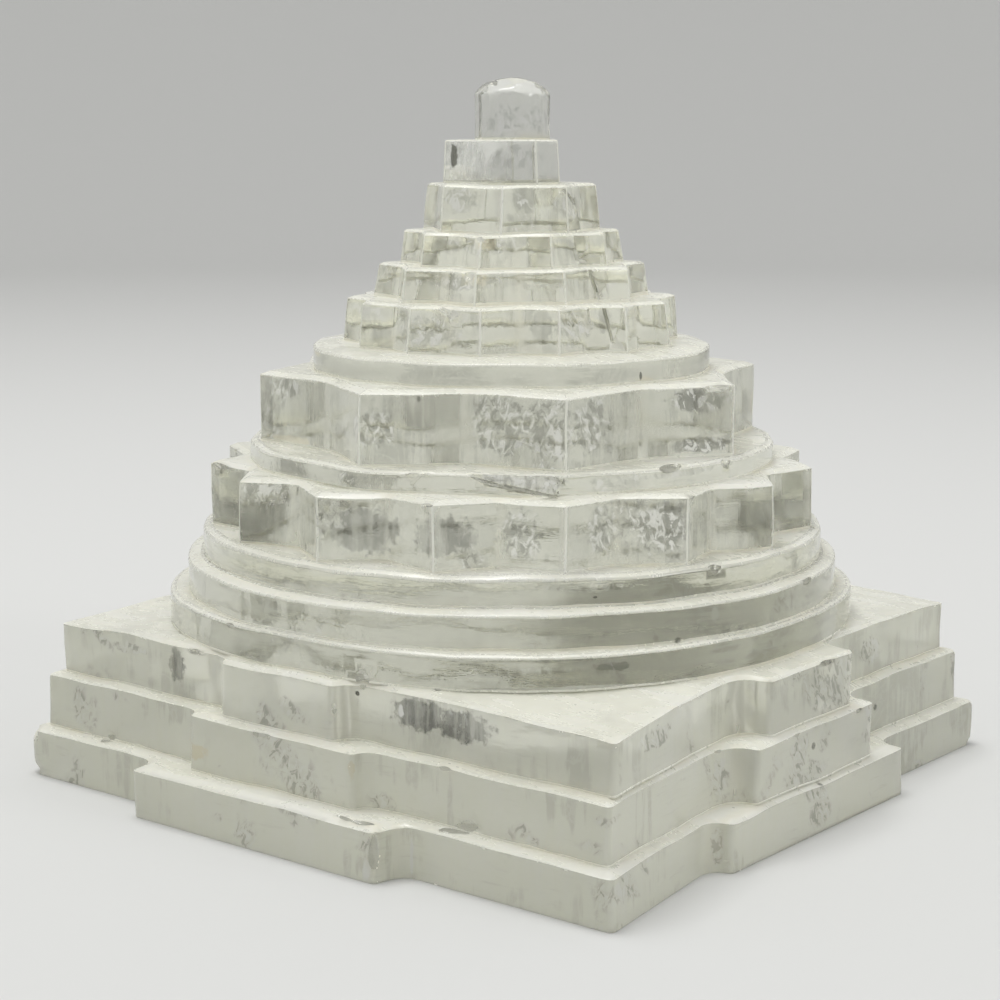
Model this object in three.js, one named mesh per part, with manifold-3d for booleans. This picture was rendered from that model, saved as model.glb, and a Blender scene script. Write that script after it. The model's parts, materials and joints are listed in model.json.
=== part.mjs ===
// Meru shri yantra of rock crystal: sixteen carved tiers, stacked face to face on one axis.
// Millimetres, +Z up, origin at the centre of the underside, front face towards -Y.

import * as THREE from "three";
import ManifoldModule from "manifold-3d";
import { mergeVertices } from "three/addons/utils/BufferGeometryUtils.js";

const kernel = await ManifoldModule();
kernel.setup();

// Whole object
const BASE_SIDE = 75;
const BASE_HALF = BASE_SIDE / 2;

// The front right corner of every square tier was left longer than the other three,
// and the shoulder between that corner and the next gate still stands out a little
const FRONT_CORNER_REACH = 3.7;
const UPPER_CORNER_REACH = 4.5;
const FRONT_CORNER_SHOULDER = 1.2;

// How far each square tier steps in from the one below it
const MIDDLE_SQUARE_STEP = 1.5;
const UPPER_SQUARE_STEP = 1.2;
const MIDDLE_HALF = BASE_HALF - MIDDLE_SQUARE_STEP;
const UPPER_HALF = MIDDLE_HALF - UPPER_SQUARE_STEP;

// Gates: how far those in front and behind, and those at the sides, stand out, and half their width
const LOWER_FRONT_GATE_RISE = 3.6;
const LOWER_SIDE_GATE_RISE = 3.3;
const LOWER_GATE_HALF = 16.6;
const MIDDLE_FRONT_GATE_RISE = 2.1;
const MIDDLE_SIDE_GATE_RISE = 4.1;
const MIDDLE_GATE_HALF = 11.2;
const UPPER_FRONT_GATE_RISE = 2.3;
const UPPER_SIDE_GATE_RISE = 4.5;
const UPPER_GATE_HALF = 7.8;

// The cove that joins each gate to its side, and how far the two front gates sit off centre
const COVE_WIDTH = 3.4;
const LOWER_COVE_WIDTH = 2.2;
const FRONT_GATE_SHIFT = -0.3;
const SIDE_GATE_SHIFT = -1.1;

// The lowest ring runs past the plain sides onto the gates, drawn out a little to the corners
const RING_PAST_SIDE = 1.8;
const LOWER_RING_SQUARENESS = 0.02;
const LOWER_RING_RADIUS = UPPER_HALF + RING_PAST_SIDE;

// Each tier above leaves a ledge on the one below: the width of that ledge, then the tier's radii.
// Lotus and star tiers have a tip radius, and valleys between the tips that are a named depth inside it
const MIDDLE_RING_LEDGE = 1.3;
const UPPER_RING_LEDGE = 1.7;
const MIDDLE_RING_RADIUS = LOWER_RING_RADIUS - MIDDLE_RING_LEDGE;
const UPPER_RING_RADIUS = MIDDLE_RING_RADIUS - UPPER_RING_LEDGE;

const OUTER_LOTUS_LEDGE = 0.9;
const OUTER_LOTUS_DEPTH = 3.4;
const OUTER_LOTUS_TURN = 2.6;
const OUTER_LOTUS_TIP = UPPER_RING_RADIUS - OUTER_LOTUS_LEDGE;
const OUTER_LOTUS_VALLEY = OUTER_LOTUS_TIP - OUTER_LOTUS_DEPTH;

const LOTUS_BAND_LEDGE = 1.0;
const LOTUS_BAND_RADIUS = OUTER_LOTUS_VALLEY - LOTUS_BAND_LEDGE;

const INNER_LOTUS_LEDGE = 0.9;
const INNER_LOTUS_DEPTH = 4.4;
const INNER_LOTUS_TURN = 4.8;
const INNER_LOTUS_TIP = LOTUS_BAND_RADIUS - INNER_LOTUS_LEDGE;
const INNER_LOTUS_VALLEY = INNER_LOTUS_TIP - INNER_LOTUS_DEPTH;

const STAR_BAND_LEDGE = 1.6;
const STAR_BAND_RADIUS = INNER_LOTUS_VALLEY - STAR_BAND_LEDGE;

const FOURTEEN_LEDGE = 3.7;
const FOURTEEN_DEPTH = 1.8;
const FOURTEEN_TURN = -10.3;
const FOURTEEN_TIP = STAR_BAND_RADIUS - FOURTEEN_LEDGE;
const FOURTEEN_VALLEY = FOURTEEN_TIP - FOURTEEN_DEPTH;

const OUTER_TEN_LEDGE = 1.5;
const OUTER_TEN_DEPTH = 1.8;
const OUTER_TEN_TURN = 6;
const OUTER_TEN_TIP = FOURTEEN_VALLEY - OUTER_TEN_LEDGE;
const OUTER_TEN_VALLEY = OUTER_TEN_TIP - OUTER_TEN_DEPTH;

const INNER_TEN_LEDGE = 1.0;
const INNER_TEN_DEPTH = 1.5;
const INNER_TEN_TURN = 4.5;
const INNER_TEN_TIP = OUTER_TEN_VALLEY - INNER_TEN_LEDGE;
const INNER_TEN_VALLEY = INNER_TEN_TIP - INNER_TEN_DEPTH;

const EIGHT_LEDGE = 1.0;
const EIGHT_DEPTH = 1.0;
const EIGHT_TURN = -13.5;
const EIGHT_TIP = INNER_TEN_VALLEY - EIGHT_LEDGE;
const EIGHT_VALLEY = EIGHT_TIP - EIGHT_DEPTH;

// Triangle with blunted corners: half the width of each cut, and how far the cuts are from the axis
const TRIANGLE_LEDGE = 0.6;
const TRIANGLE_CUT_HALF = 1.4;
const TRIANGLE_TURN = -21;
const TRIANGLE_BLUNT_RADIUS = EIGHT_VALLEY - TRIANGLE_LEDGE;
const TRIANGLE_INNER_RADIUS = (TRIANGLE_BLUNT_RADIUS + TRIANGLE_CUT_HALF / Math.tan(Math.PI / 3)) / 2;

// The bindu all but fills the triangle below it
const BINDU_CLEARANCE = 0.1;
const BINDU_RADIUS = TRIANGLE_INNER_RADIUS - BINDU_CLEARANCE;
const BINDU_SIDE_HEIGHT = 5.0;
const BINDU_DOME_HEIGHT = 2.1;

// Height of each tier, bottom to top
const LOWER_SQUARE_HEIGHT = 5.3;
const MIDDLE_SQUARE_HEIGHT = 6.0;
const UPPER_SQUARE_HEIGHT = 5.9;
const LOWER_RING_HEIGHT = 3.5;
const MIDDLE_RING_HEIGHT = 3.8;
const UPPER_RING_HEIGHT = 3.1;
const OUTER_LOTUS_HEIGHT = 6.8;
const LOTUS_BAND_HEIGHT = 2.2;
const INNER_LOTUS_HEIGHT = 7.5;
const STAR_BAND_HEIGHT = 2.8;
const FOURTEEN_HEIGHT = 4.8;
const OUTER_TEN_HEIGHT = 3.6;
const INNER_TEN_HEIGHT = 3.5;
const EIGHT_HEIGHT = 4.9;
const TRIANGLE_HEIGHT = 4.6;

// Every ledge falls outward: how far it falls, over the width of the worked edge of each tier
const LEDGE_FALL = 0.4;
const NARROW_LEDGE_FALL = 0.25;
const CRISP_EDGE = 0.15;
const LOWER_SQUARE_EDGE = 1.1;
const MIDDLE_SQUARE_EDGE = 1.0;
const UPPER_SQUARE_EDGE = 0.5;
const LOWER_RING_EDGE = 0.5;
const MIDDLE_RING_EDGE = 1.5;
const UPPER_RING_EDGE = 0.8;
const OUTER_LOTUS_EDGE = 0.8;
const LOTUS_BAND_EDGE = 0.7;
const INNER_LOTUS_EDGE = 1.0;
const STAR_BAND_EDGE = 2.2;
const FOURTEEN_EDGE = 0.7;
const OUTER_TEN_EDGE = 0.5;
const INNER_TEN_EDGE = 0.25;
const EIGHT_EDGE = 0.4;

// The wide ledge of the upper square falls away like a shallow cone towards its corners
const CORNER_FALL_SLOPE = 0.06;
const CORNER_FALL_START = 37.4;

// How far the foot of each star tier spreads below its top edge
const STAR_FOOT_SPREAD = 0.5;
const TRIANGLE_FOOT_SPREAD = 0.25;

// Smoothness of curves
const RING_SEGMENTS = 120;
const COVE_SEGMENTS = 6;
const DOME_SEGMENTS = 7;
const FLAT_TOLERANCE = 1e-6;

const CRYSTAL = { color: 0xd3d6c9, roughness: 0.16, metalness: 0.0 };
const CRYSTAL_RINGS = { color: 0xc4c8ba, roughness: 0.14, metalness: 0.0 };
const CRYSTAL_CROWN = { color: 0xbfc3b8, roughness: 0.12, metalness: 0.0 };

function polar(radius, degrees) {
  const angle = THREE.MathUtils.degToRad(degrees);
  return new THREE.Vector2(radius * Math.cos(angle), radius * Math.sin(angle));
}

// Square outline with a raised gate in the middle of each side, joined to the side by two coves
function squareOutline({ half, frontRise, sideRise, gateHalf, coveWidth, cornerReach }) {
  const shoulder = FRONT_CORNER_SHOULDER;
  const front = { turn: 0, rise: frontRise, shift: FRONT_GATE_SHIFT, shoulder: 0, corner: cornerReach };
  const right = { turn: 90, rise: sideRise, shift: SIDE_GATE_SHIFT, shoulder, corner: 0 };
  const back = { turn: 180, rise: frontRise, shift: 0, shoulder: 0, corner: 0 };
  const left = { turn: 270, rise: sideRise, shift: 0, shoulder: 0, corner: 0 };
  const path = new THREE.Path();
  path.moveTo(-half, -half);
  for (const side of [front, right, back, left]) {
    addSideWithGate(path, side, half, gateHalf, coveWidth);
  }
  return withoutRepeats(path.getPoints(COVE_SEGMENTS));
}

// One side, drawn as if it were the front one and turned to its place
function addSideWithGate(path, side, half, gateHalf, coveWidth) {
  const centre = new THREE.Vector2();
  const turn = THREE.MathUtils.degToRad(side.turn);
  const at = (along, outward) => new THREE.Vector2(along, -outward).rotateAround(centre, turn);
  const coveStart = at(side.shift - gateHalf - coveWidth, half + side.shoulder);
  const coveBend = at(side.shift - gateHalf, half + side.shoulder);
  const gateStart = at(side.shift - gateHalf, half + side.rise);
  const gateEnd = at(side.shift + gateHalf, half + side.rise);
  const farBend = at(side.shift + gateHalf, half);
  const coveEnd = at(side.shift + gateHalf + coveWidth, half);
  const end = at(half + side.corner, half);
  path.lineTo(coveStart.x, coveStart.y);
  path.quadraticCurveTo(coveBend.x, coveBend.y, gateStart.x, gateStart.y);
  path.lineTo(gateEnd.x, gateEnd.y);
  path.quadraticCurveTo(farBend.x, farBend.y, coveEnd.x, coveEnd.y);
  path.lineTo(end.x, end.y);
}

function ringOutline(radius, squareness = 0) {
  const points = [];
  for (let step = 0; step < RING_SEGMENTS; step += 1) {
    const degrees = (360 * step) / RING_SEGMENTS;
    const drawnOut = 1 - squareness * Math.cos(THREE.MathUtils.degToRad(4 * degrees));
    points.push(polar(radius * drawnOut, degrees));
  }
  return points;
}

function starOutline(count, tipRadius, valleyRadius, turn) {
  const points = [];
  for (let step = 0; step < count; step += 1) {
    const degrees = turn + (360 * step) / count;
    points.push(polar(tipRadius, degrees));
    points.push(polar(valleyRadius, degrees + 180 / count));
  }
  return points;
}

// Triangle whose corners are cut off square, so it has three long and three short sides
function bluntTriangleOutline(bluntRadius, cutHalf, turn) {
  const points = [];
  for (let corner = 0; corner < 3; corner += 1) {
    const degrees = turn + 120 * corner;
    const middle = polar(bluntRadius, degrees);
    const sideways = polar(cutHalf, degrees + 90);
    points.push(middle.clone().sub(sideways));
    points.push(middle.clone().add(sideways));
  }
  return points;
}

function withoutRepeats(points) {
  return points.filter((point, index) => {
    const previous = points[(index + points.length - 1) % points.length];
    return point.distanceTo(previous) > FLAT_TOLERANCE;
  });
}

// Solid tier on its outline: upright wall, then a ledge that falls outward, and a flat underside.
// The foot spreads by footSpread, measured at footRadius.
function tierGeometry({ outline, height, fall, edgeWidth, footSpread = 0, footRadius = 1 }) {
  const geometry = new THREE.ExtrudeGeometry(new THREE.Shape(outline), {
    depth: height - fall,
    bevelEnabled: true,
    bevelThickness: fall,
    bevelSize: edgeWidth,
    bevelOffset: -edgeWidth,
    bevelSegments: 1,
    steps: 1,
  });
  const position = geometry.getAttribute("position");
  const footScale = 1 + footSpread / footRadius;
  for (let index = 0; index < position.count; index += 1) {
    if (position.getZ(index) < FLAT_TOLERANCE) {
      position.setX(index, position.getX(index) * footScale);
      position.setY(index, position.getY(index) * footScale);
      position.setZ(index, 0);
    }
  }
  return bareGeometry(geometry);
}

function bareGeometry(geometry) {
  const bare = new THREE.BufferGeometry();
  bare.setAttribute("position", geometry.getAttribute("position").clone());
  if (geometry.index) {
    bare.setIndex(geometry.index.clone());
  }
  return mergeVertices(bare, 1e-4);
}

function toManifold(geometry) {
  const mesh = new kernel.Mesh({
    numProp: 3,
    vertProperties: new Float32Array(geometry.getAttribute("position").array),
    triVerts: new Uint32Array(geometry.index.array),
  });
  return new kernel.Manifold(mesh);
}

function fromManifold(solid) {
  const mesh = solid.getMesh();
  const geometry = new THREE.BufferGeometry();
  geometry.setAttribute("position", new THREE.BufferAttribute(mesh.vertProperties, 3));
  geometry.setIndex(new THREE.BufferAttribute(mesh.triVerts, 1));
  return geometry;
}

// Collar above a shallow cone; taking it off a tier leaves a ledge that falls to the corners
function cornerFallCollar(height) {
  const outerRadius = BASE_SIDE;
  const drop = CORNER_FALL_SLOPE * (outerRadius - CORNER_FALL_START);
  const profile = [
    new THREE.Vector2(CORNER_FALL_START, height),
    new THREE.Vector2(outerRadius, height - drop),
    new THREE.Vector2(outerRadius, height + drop),
    new THREE.Vector2(CORNER_FALL_START, height + drop),
    new THREE.Vector2(CORNER_FALL_START, height),
  ];
  const collar = new THREE.LatheGeometry(profile, RING_SEGMENTS);
  collar.rotateX(Math.PI / 2);
  return bareGeometry(collar);
}

function lowerSquare() {
  const outline = squareOutline({
    half: BASE_HALF,
    frontRise: LOWER_FRONT_GATE_RISE,
    sideRise: LOWER_SIDE_GATE_RISE,
    gateHalf: LOWER_GATE_HALF,
    coveWidth: LOWER_COVE_WIDTH,
    cornerReach: FRONT_CORNER_REACH,
  });
  const edge = { fall: LEDGE_FALL, edgeWidth: LOWER_SQUARE_EDGE };
  return tierGeometry({ outline, height: LOWER_SQUARE_HEIGHT, ...edge });
}

function middleSquare() {
  const outline = squareOutline({
    half: MIDDLE_HALF,
    frontRise: MIDDLE_FRONT_GATE_RISE,
    sideRise: MIDDLE_SIDE_GATE_RISE,
    gateHalf: MIDDLE_GATE_HALF,
    coveWidth: COVE_WIDTH,
    cornerReach: FRONT_CORNER_REACH,
  });
  const edge = { fall: LEDGE_FALL, edgeWidth: MIDDLE_SQUARE_EDGE };
  return tierGeometry({ outline, height: MIDDLE_SQUARE_HEIGHT, ...edge });
}

function upperSquare() {
  const outline = squareOutline({
    half: UPPER_HALF,
    frontRise: UPPER_FRONT_GATE_RISE,
    sideRise: UPPER_SIDE_GATE_RISE,
    gateHalf: UPPER_GATE_HALF,
    coveWidth: COVE_WIDTH,
    cornerReach: UPPER_CORNER_REACH,
  });
  const edge = { fall: LEDGE_FALL, edgeWidth: UPPER_SQUARE_EDGE };
  const plain = tierGeometry({ outline, height: UPPER_SQUARE_HEIGHT, ...edge });
  const collar = cornerFallCollar(UPPER_SQUARE_HEIGHT);
  return fromManifold(toManifold(plain).subtract(toManifold(collar)));
}

function lowerRing() {
  const outline = ringOutline(LOWER_RING_RADIUS, LOWER_RING_SQUARENESS);
  const edge = { fall: NARROW_LEDGE_FALL, edgeWidth: LOWER_RING_EDGE };
  return tierGeometry({ outline, height: LOWER_RING_HEIGHT, ...edge });
}

function middleRing() {
  const outline = ringOutline(MIDDLE_RING_RADIUS);
  const edge = { fall: LEDGE_FALL, edgeWidth: MIDDLE_RING_EDGE };
  return tierGeometry({ outline, height: MIDDLE_RING_HEIGHT, ...edge });
}

function upperRing() {
  const outline = ringOutline(UPPER_RING_RADIUS);
  const edge = { fall: LEDGE_FALL, edgeWidth: UPPER_RING_EDGE };
  return tierGeometry({ outline, height: UPPER_RING_HEIGHT, ...edge });
}

function outerLotus() {
  const outline = starOutline(16, OUTER_LOTUS_TIP, OUTER_LOTUS_VALLEY, OUTER_LOTUS_TURN);
  const edge = { fall: LEDGE_FALL, edgeWidth: OUTER_LOTUS_EDGE };
  return tierGeometry({ outline, height: OUTER_LOTUS_HEIGHT, ...edge });
}

function lotusBand() {
  const outline = ringOutline(LOTUS_BAND_RADIUS);
  const edge = { fall: NARROW_LEDGE_FALL, edgeWidth: LOTUS_BAND_EDGE };
  return tierGeometry({ outline, height: LOTUS_BAND_HEIGHT, ...edge });
}

function innerLotus() {
  const outline = starOutline(8, INNER_LOTUS_TIP, INNER_LOTUS_VALLEY, INNER_LOTUS_TURN);
  const edge = { fall: LEDGE_FALL, edgeWidth: INNER_LOTUS_EDGE };
  return tierGeometry({ outline, height: INNER_LOTUS_HEIGHT, ...edge });
}

function starBand() {
  const outline = ringOutline(STAR_BAND_RADIUS);
  const edge = { fall: LEDGE_FALL, edgeWidth: STAR_BAND_EDGE };
  return tierGeometry({ outline, height: STAR_BAND_HEIGHT, ...edge });
}

// Star tier; its foot spreads, as the carver left stone in the crease below it
function starTier({ count, tipRadius, valleyRadius, turn, height, edgeWidth }) {
  return tierGeometry({
    outline: starOutline(count, tipRadius, valleyRadius, turn),
    height,
    fall: NARROW_LEDGE_FALL,
    edgeWidth,
    footSpread: STAR_FOOT_SPREAD,
    footRadius: tipRadius,
  });
}

function fourteenStar() {
  return starTier({
    count: 14,
    tipRadius: FOURTEEN_TIP,
    valleyRadius: FOURTEEN_VALLEY,
    turn: FOURTEEN_TURN,
    height: FOURTEEN_HEIGHT,
    edgeWidth: FOURTEEN_EDGE,
  });
}

function outerTenStar() {
  return starTier({
    count: 10,
    tipRadius: OUTER_TEN_TIP,
    valleyRadius: OUTER_TEN_VALLEY,
    turn: OUTER_TEN_TURN,
    height: OUTER_TEN_HEIGHT,
    edgeWidth: OUTER_TEN_EDGE,
  });
}

function innerTenStar() {
  return starTier({
    count: 10,
    tipRadius: INNER_TEN_TIP,
    valleyRadius: INNER_TEN_VALLEY,
    turn: INNER_TEN_TURN,
    height: INNER_TEN_HEIGHT,
    edgeWidth: INNER_TEN_EDGE,
  });
}

function eightStar() {
  return starTier({
    count: 8,
    tipRadius: EIGHT_TIP,
    valleyRadius: EIGHT_VALLEY,
    turn: EIGHT_TURN,
    height: EIGHT_HEIGHT,
    edgeWidth: EIGHT_EDGE,
  });
}

function triangleTier() {
  const outline = bluntTriangleOutline(TRIANGLE_BLUNT_RADIUS, TRIANGLE_CUT_HALF, TRIANGLE_TURN);
  return tierGeometry({
    outline,
    height: TRIANGLE_HEIGHT,
    fall: CRISP_EDGE,
    edgeWidth: CRISP_EDGE,
    footSpread: TRIANGLE_FOOT_SPREAD,
    footRadius: TRIANGLE_BLUNT_RADIUS,
  });
}

function bindu() {
  const profile = [new THREE.Vector2(0, 0), new THREE.Vector2(BINDU_RADIUS, 0)];
  for (let step = 0; step < DOME_SEGMENTS; step += 1) {
    const angle = (Math.PI / 2) * (step / DOME_SEGMENTS);
    const height = BINDU_SIDE_HEIGHT + BINDU_DOME_HEIGHT * Math.sin(angle);
    profile.push(new THREE.Vector2(BINDU_RADIUS * Math.cos(angle), height));
  }
  profile.push(new THREE.Vector2(0, BINDU_SIDE_HEIGHT + BINDU_DOME_HEIGHT));
  const geometry = new THREE.LatheGeometry(profile, RING_SEGMENTS / 2);
  geometry.rotateX(Math.PI / 2);
  return bareGeometry(geometry);
}

const TIERS = [
  { name: "square_tier_lower", finish: CRYSTAL, height: LOWER_SQUARE_HEIGHT, build: lowerSquare },
  { name: "square_tier_middle", finish: CRYSTAL, height: MIDDLE_SQUARE_HEIGHT, build: middleSquare },
  { name: "square_tier_upper", finish: CRYSTAL, height: UPPER_SQUARE_HEIGHT, build: upperSquare },
  { name: "ring_lower", finish: CRYSTAL_RINGS, height: LOWER_RING_HEIGHT, build: lowerRing },
  { name: "ring_middle", finish: CRYSTAL_RINGS, height: MIDDLE_RING_HEIGHT, build: middleRing },
  { name: "ring_upper", finish: CRYSTAL_RINGS, height: UPPER_RING_HEIGHT, build: upperRing },
  { name: "sixteen_petal_lotus", finish: CRYSTAL_RINGS, height: OUTER_LOTUS_HEIGHT, build: outerLotus },
  { name: "lotus_band", finish: CRYSTAL_RINGS, height: LOTUS_BAND_HEIGHT, build: lotusBand },
  { name: "eight_petal_lotus", finish: CRYSTAL_RINGS, height: INNER_LOTUS_HEIGHT, build: innerLotus },
  { name: "star_band", finish: CRYSTAL_RINGS, height: STAR_BAND_HEIGHT, build: starBand },
  { name: "fourteen_point_star", finish: CRYSTAL_CROWN, height: FOURTEEN_HEIGHT, build: fourteenStar },
  { name: "outer_ten_point_star", finish: CRYSTAL_CROWN, height: OUTER_TEN_HEIGHT, build: outerTenStar },
  { name: "inner_ten_point_star", finish: CRYSTAL_CROWN, height: INNER_TEN_HEIGHT, build: innerTenStar },
  { name: "eight_point_star", finish: CRYSTAL_CROWN, height: EIGHT_HEIGHT, build: eightStar },
  { name: "triangle_tier", finish: CRYSTAL_CROWN, height: TRIANGLE_HEIGHT, build: triangleTier },
  { name: "bindu", finish: CRYSTAL_CROWN, height: BINDU_SIDE_HEIGHT + BINDU_DOME_HEIGHT, build: bindu },
];

function tierMesh(tier, floor) {
  const geometry = tier.build();
  geometry.translate(0, 0, floor);
  geometry.computeVertexNormals();
  const mesh = new THREE.Mesh(geometry, new THREE.MeshStandardMaterial(tier.finish));
  mesh.name = tier.name;
  return mesh;
}

function shriYantra() {
  const group = new THREE.Group();
  group.name = "shri_yantra";
  let floor = 0;
  for (const tier of TIERS) {
    group.add(tierMesh(tier, floor));
    floor += tier.height;
  }
  return group;
}

const group = shriYantra();

export default group;
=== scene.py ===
"""The looks of a Meru shri yantra carved from one rock crystal, standing in a plain pale studio.

Every length is in metres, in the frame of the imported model: +Z up, origin at the middle of the underside.
The sixteen carved tiers are joined into one stone, chipped and worn as one, and then parted along their
creases again, so that each piece stands for its CAD node and light still passes as through one crystal.
"""

import json
import logging
import math
import random
from dataclasses import dataclass, field
from enum import Enum

import bmesh
import bpy
import numpy as np
from mathutils import Euler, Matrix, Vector, kdtree

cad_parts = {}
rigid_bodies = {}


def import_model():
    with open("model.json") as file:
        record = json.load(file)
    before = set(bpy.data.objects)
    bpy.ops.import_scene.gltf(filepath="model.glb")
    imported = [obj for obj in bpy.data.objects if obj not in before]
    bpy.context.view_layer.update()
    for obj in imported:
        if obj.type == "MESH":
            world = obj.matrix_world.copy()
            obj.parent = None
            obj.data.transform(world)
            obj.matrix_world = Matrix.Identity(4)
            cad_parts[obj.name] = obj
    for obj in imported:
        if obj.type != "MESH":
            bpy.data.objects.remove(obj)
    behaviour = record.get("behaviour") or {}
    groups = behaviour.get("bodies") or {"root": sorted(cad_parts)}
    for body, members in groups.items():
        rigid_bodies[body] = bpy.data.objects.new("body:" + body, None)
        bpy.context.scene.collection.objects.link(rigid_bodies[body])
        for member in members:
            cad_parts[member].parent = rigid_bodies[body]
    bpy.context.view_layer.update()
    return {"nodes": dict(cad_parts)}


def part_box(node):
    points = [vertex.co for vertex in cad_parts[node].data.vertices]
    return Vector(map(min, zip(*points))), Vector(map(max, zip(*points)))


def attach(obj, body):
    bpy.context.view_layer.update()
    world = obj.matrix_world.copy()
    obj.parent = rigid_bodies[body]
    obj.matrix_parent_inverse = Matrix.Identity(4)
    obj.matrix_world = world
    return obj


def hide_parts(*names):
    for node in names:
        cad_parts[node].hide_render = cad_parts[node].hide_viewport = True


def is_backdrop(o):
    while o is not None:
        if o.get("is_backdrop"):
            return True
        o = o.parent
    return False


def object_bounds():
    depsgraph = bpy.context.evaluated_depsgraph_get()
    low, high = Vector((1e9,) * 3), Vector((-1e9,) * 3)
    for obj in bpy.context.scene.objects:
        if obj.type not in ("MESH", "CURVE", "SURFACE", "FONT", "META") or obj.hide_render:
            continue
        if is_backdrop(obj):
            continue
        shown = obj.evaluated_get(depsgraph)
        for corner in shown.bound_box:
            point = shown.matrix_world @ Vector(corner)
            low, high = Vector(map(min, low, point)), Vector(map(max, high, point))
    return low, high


LOG = logging.getLogger("shri_yantra")
MM = 0.001
TOUCH = 0.01 * MM
QUARTZ_IOR = 1.54
Triple = tuple[float, float, float]
Colour = Triple


class Skin(Enum):
    """What a face of the stone is; the value is the place of its material slot."""

    BASE_WALL = 0
    PETAL_WALL = 1
    CROWN_WALL = 2
    TOP_WALL = 3
    LEDGE = 4
    RIM = 5
    CHIP = 6
    UNDERSIDE = 7
    HIDDEN = 8
    BAND_WALL = 9


# Small helpers for modelling

def mm(*parts: float) -> tuple[float, ...]:
    """Turns a row of millimetres into metres.

    Args:
        *parts: The lengths in millimetres.

    Returns:
        The same lengths in metres.
    """
    return tuple(part * MM for part in parts)


def deselect_all() -> None:
    """Leaves edit mode and clears the selection."""
    if bpy.context.object and bpy.context.object.mode != "OBJECT":
        bpy.ops.object.mode_set(mode="OBJECT")
    bpy.ops.object.select_all(action="DESELECT")


def make_active(piece: bpy.types.Object) -> None:
    """Selects one object alone and makes it the active one.

    Args:
        piece: The object to work on.
    """
    deselect_all()
    piece.select_set(True)
    bpy.context.view_layer.objects.active = piece


def apply_modifier(piece: bpy.types.Object, kind: str, **settings: object) -> None:
    """Adds a modifier, sets it and applies it at once.

    Args:
        piece: The mesh object to change.
        kind: Blender's name for the modifier type.
        **settings: Attributes to set on the modifier first.
    """
    make_active(piece)
    modifier = piece.modifiers.new(kind.lower(), kind)
    for name, value in settings.items():
        setattr(modifier, name, value)
    bpy.ops.object.modifier_apply(modifier=modifier.name)


def points_of(mesh: bpy.types.Mesh) -> np.ndarray:
    """All vertex places of a mesh.

    Args:
        mesh: The mesh to read.

    Returns:
        One row of x, y and z per vertex.
    """
    flat = np.empty(len(mesh.vertices) * 3)
    mesh.vertices.foreach_get("co", flat)
    return flat.reshape(-1, 3)


def select_faces(piece: bpy.types.Object, chosen: np.ndarray) -> None:
    """Selects faces in object mode by a row of yes and no, and opens edit mode on faces.

    Args:
        piece: The mesh object.
        chosen: True for each face to select.
    """
    make_active(piece)
    bpy.ops.object.mode_set(mode="EDIT")
    bpy.ops.mesh.select_mode(type="FACE")
    bpy.ops.mesh.select_all(action="DESELECT")
    bpy.ops.object.mode_set(mode="OBJECT")
    piece.data.polygons.foreach_set("select", chosen.astype(bool))
    bpy.ops.object.mode_set(mode="EDIT")


# The stone

@dataclass
class TierCut:
    """How one tier is worked before it joins the rest.

    Attributes:
        node: The CAD node that it stands for.
        wall: The skin of its walls.
        arris: Width of the rounding on its upright corners.
        rim: Width of the rounding on the rim of its ledge.
        across: How much of the CAD tier's width is left when it is worked down.
        tall: How much of its height is left.
        crisp: Its edges are shaded smooth below this share of the stone's smooth angle.
    """

    node: str
    wall: Skin
    arris: float
    rim: float
    across: float = 1.0
    tall: float = 1.0
    crisp: float = 1.0

    def slot(self) -> str:
        """Names the record's material slot of this tier.

        Returns:
            The slot's name.
        """
        slots = {Skin.BASE_WALL: "crystal_base", Skin.BAND_WALL: "crystal_rings",
                 Skin.PETAL_WALL: "crystal_rings"}
        return slots.get(self.wall, "crystal_crown")


@dataclass
class Chip:
    """One hollow flaked off the stone by a knock.

    Attributes:
        place: Middle of the tool that takes the flake.
        size: Half lengths of the tool along its own axes.
        turn: How the tool is turned, in degrees about x, y and z.
        square: Whether the tool is a block, for a break with flat faces.
    """

    place: Triple
    size: Triple
    turn: Triple = (0.0, 0.0, 0.0)
    square: bool = False


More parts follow.
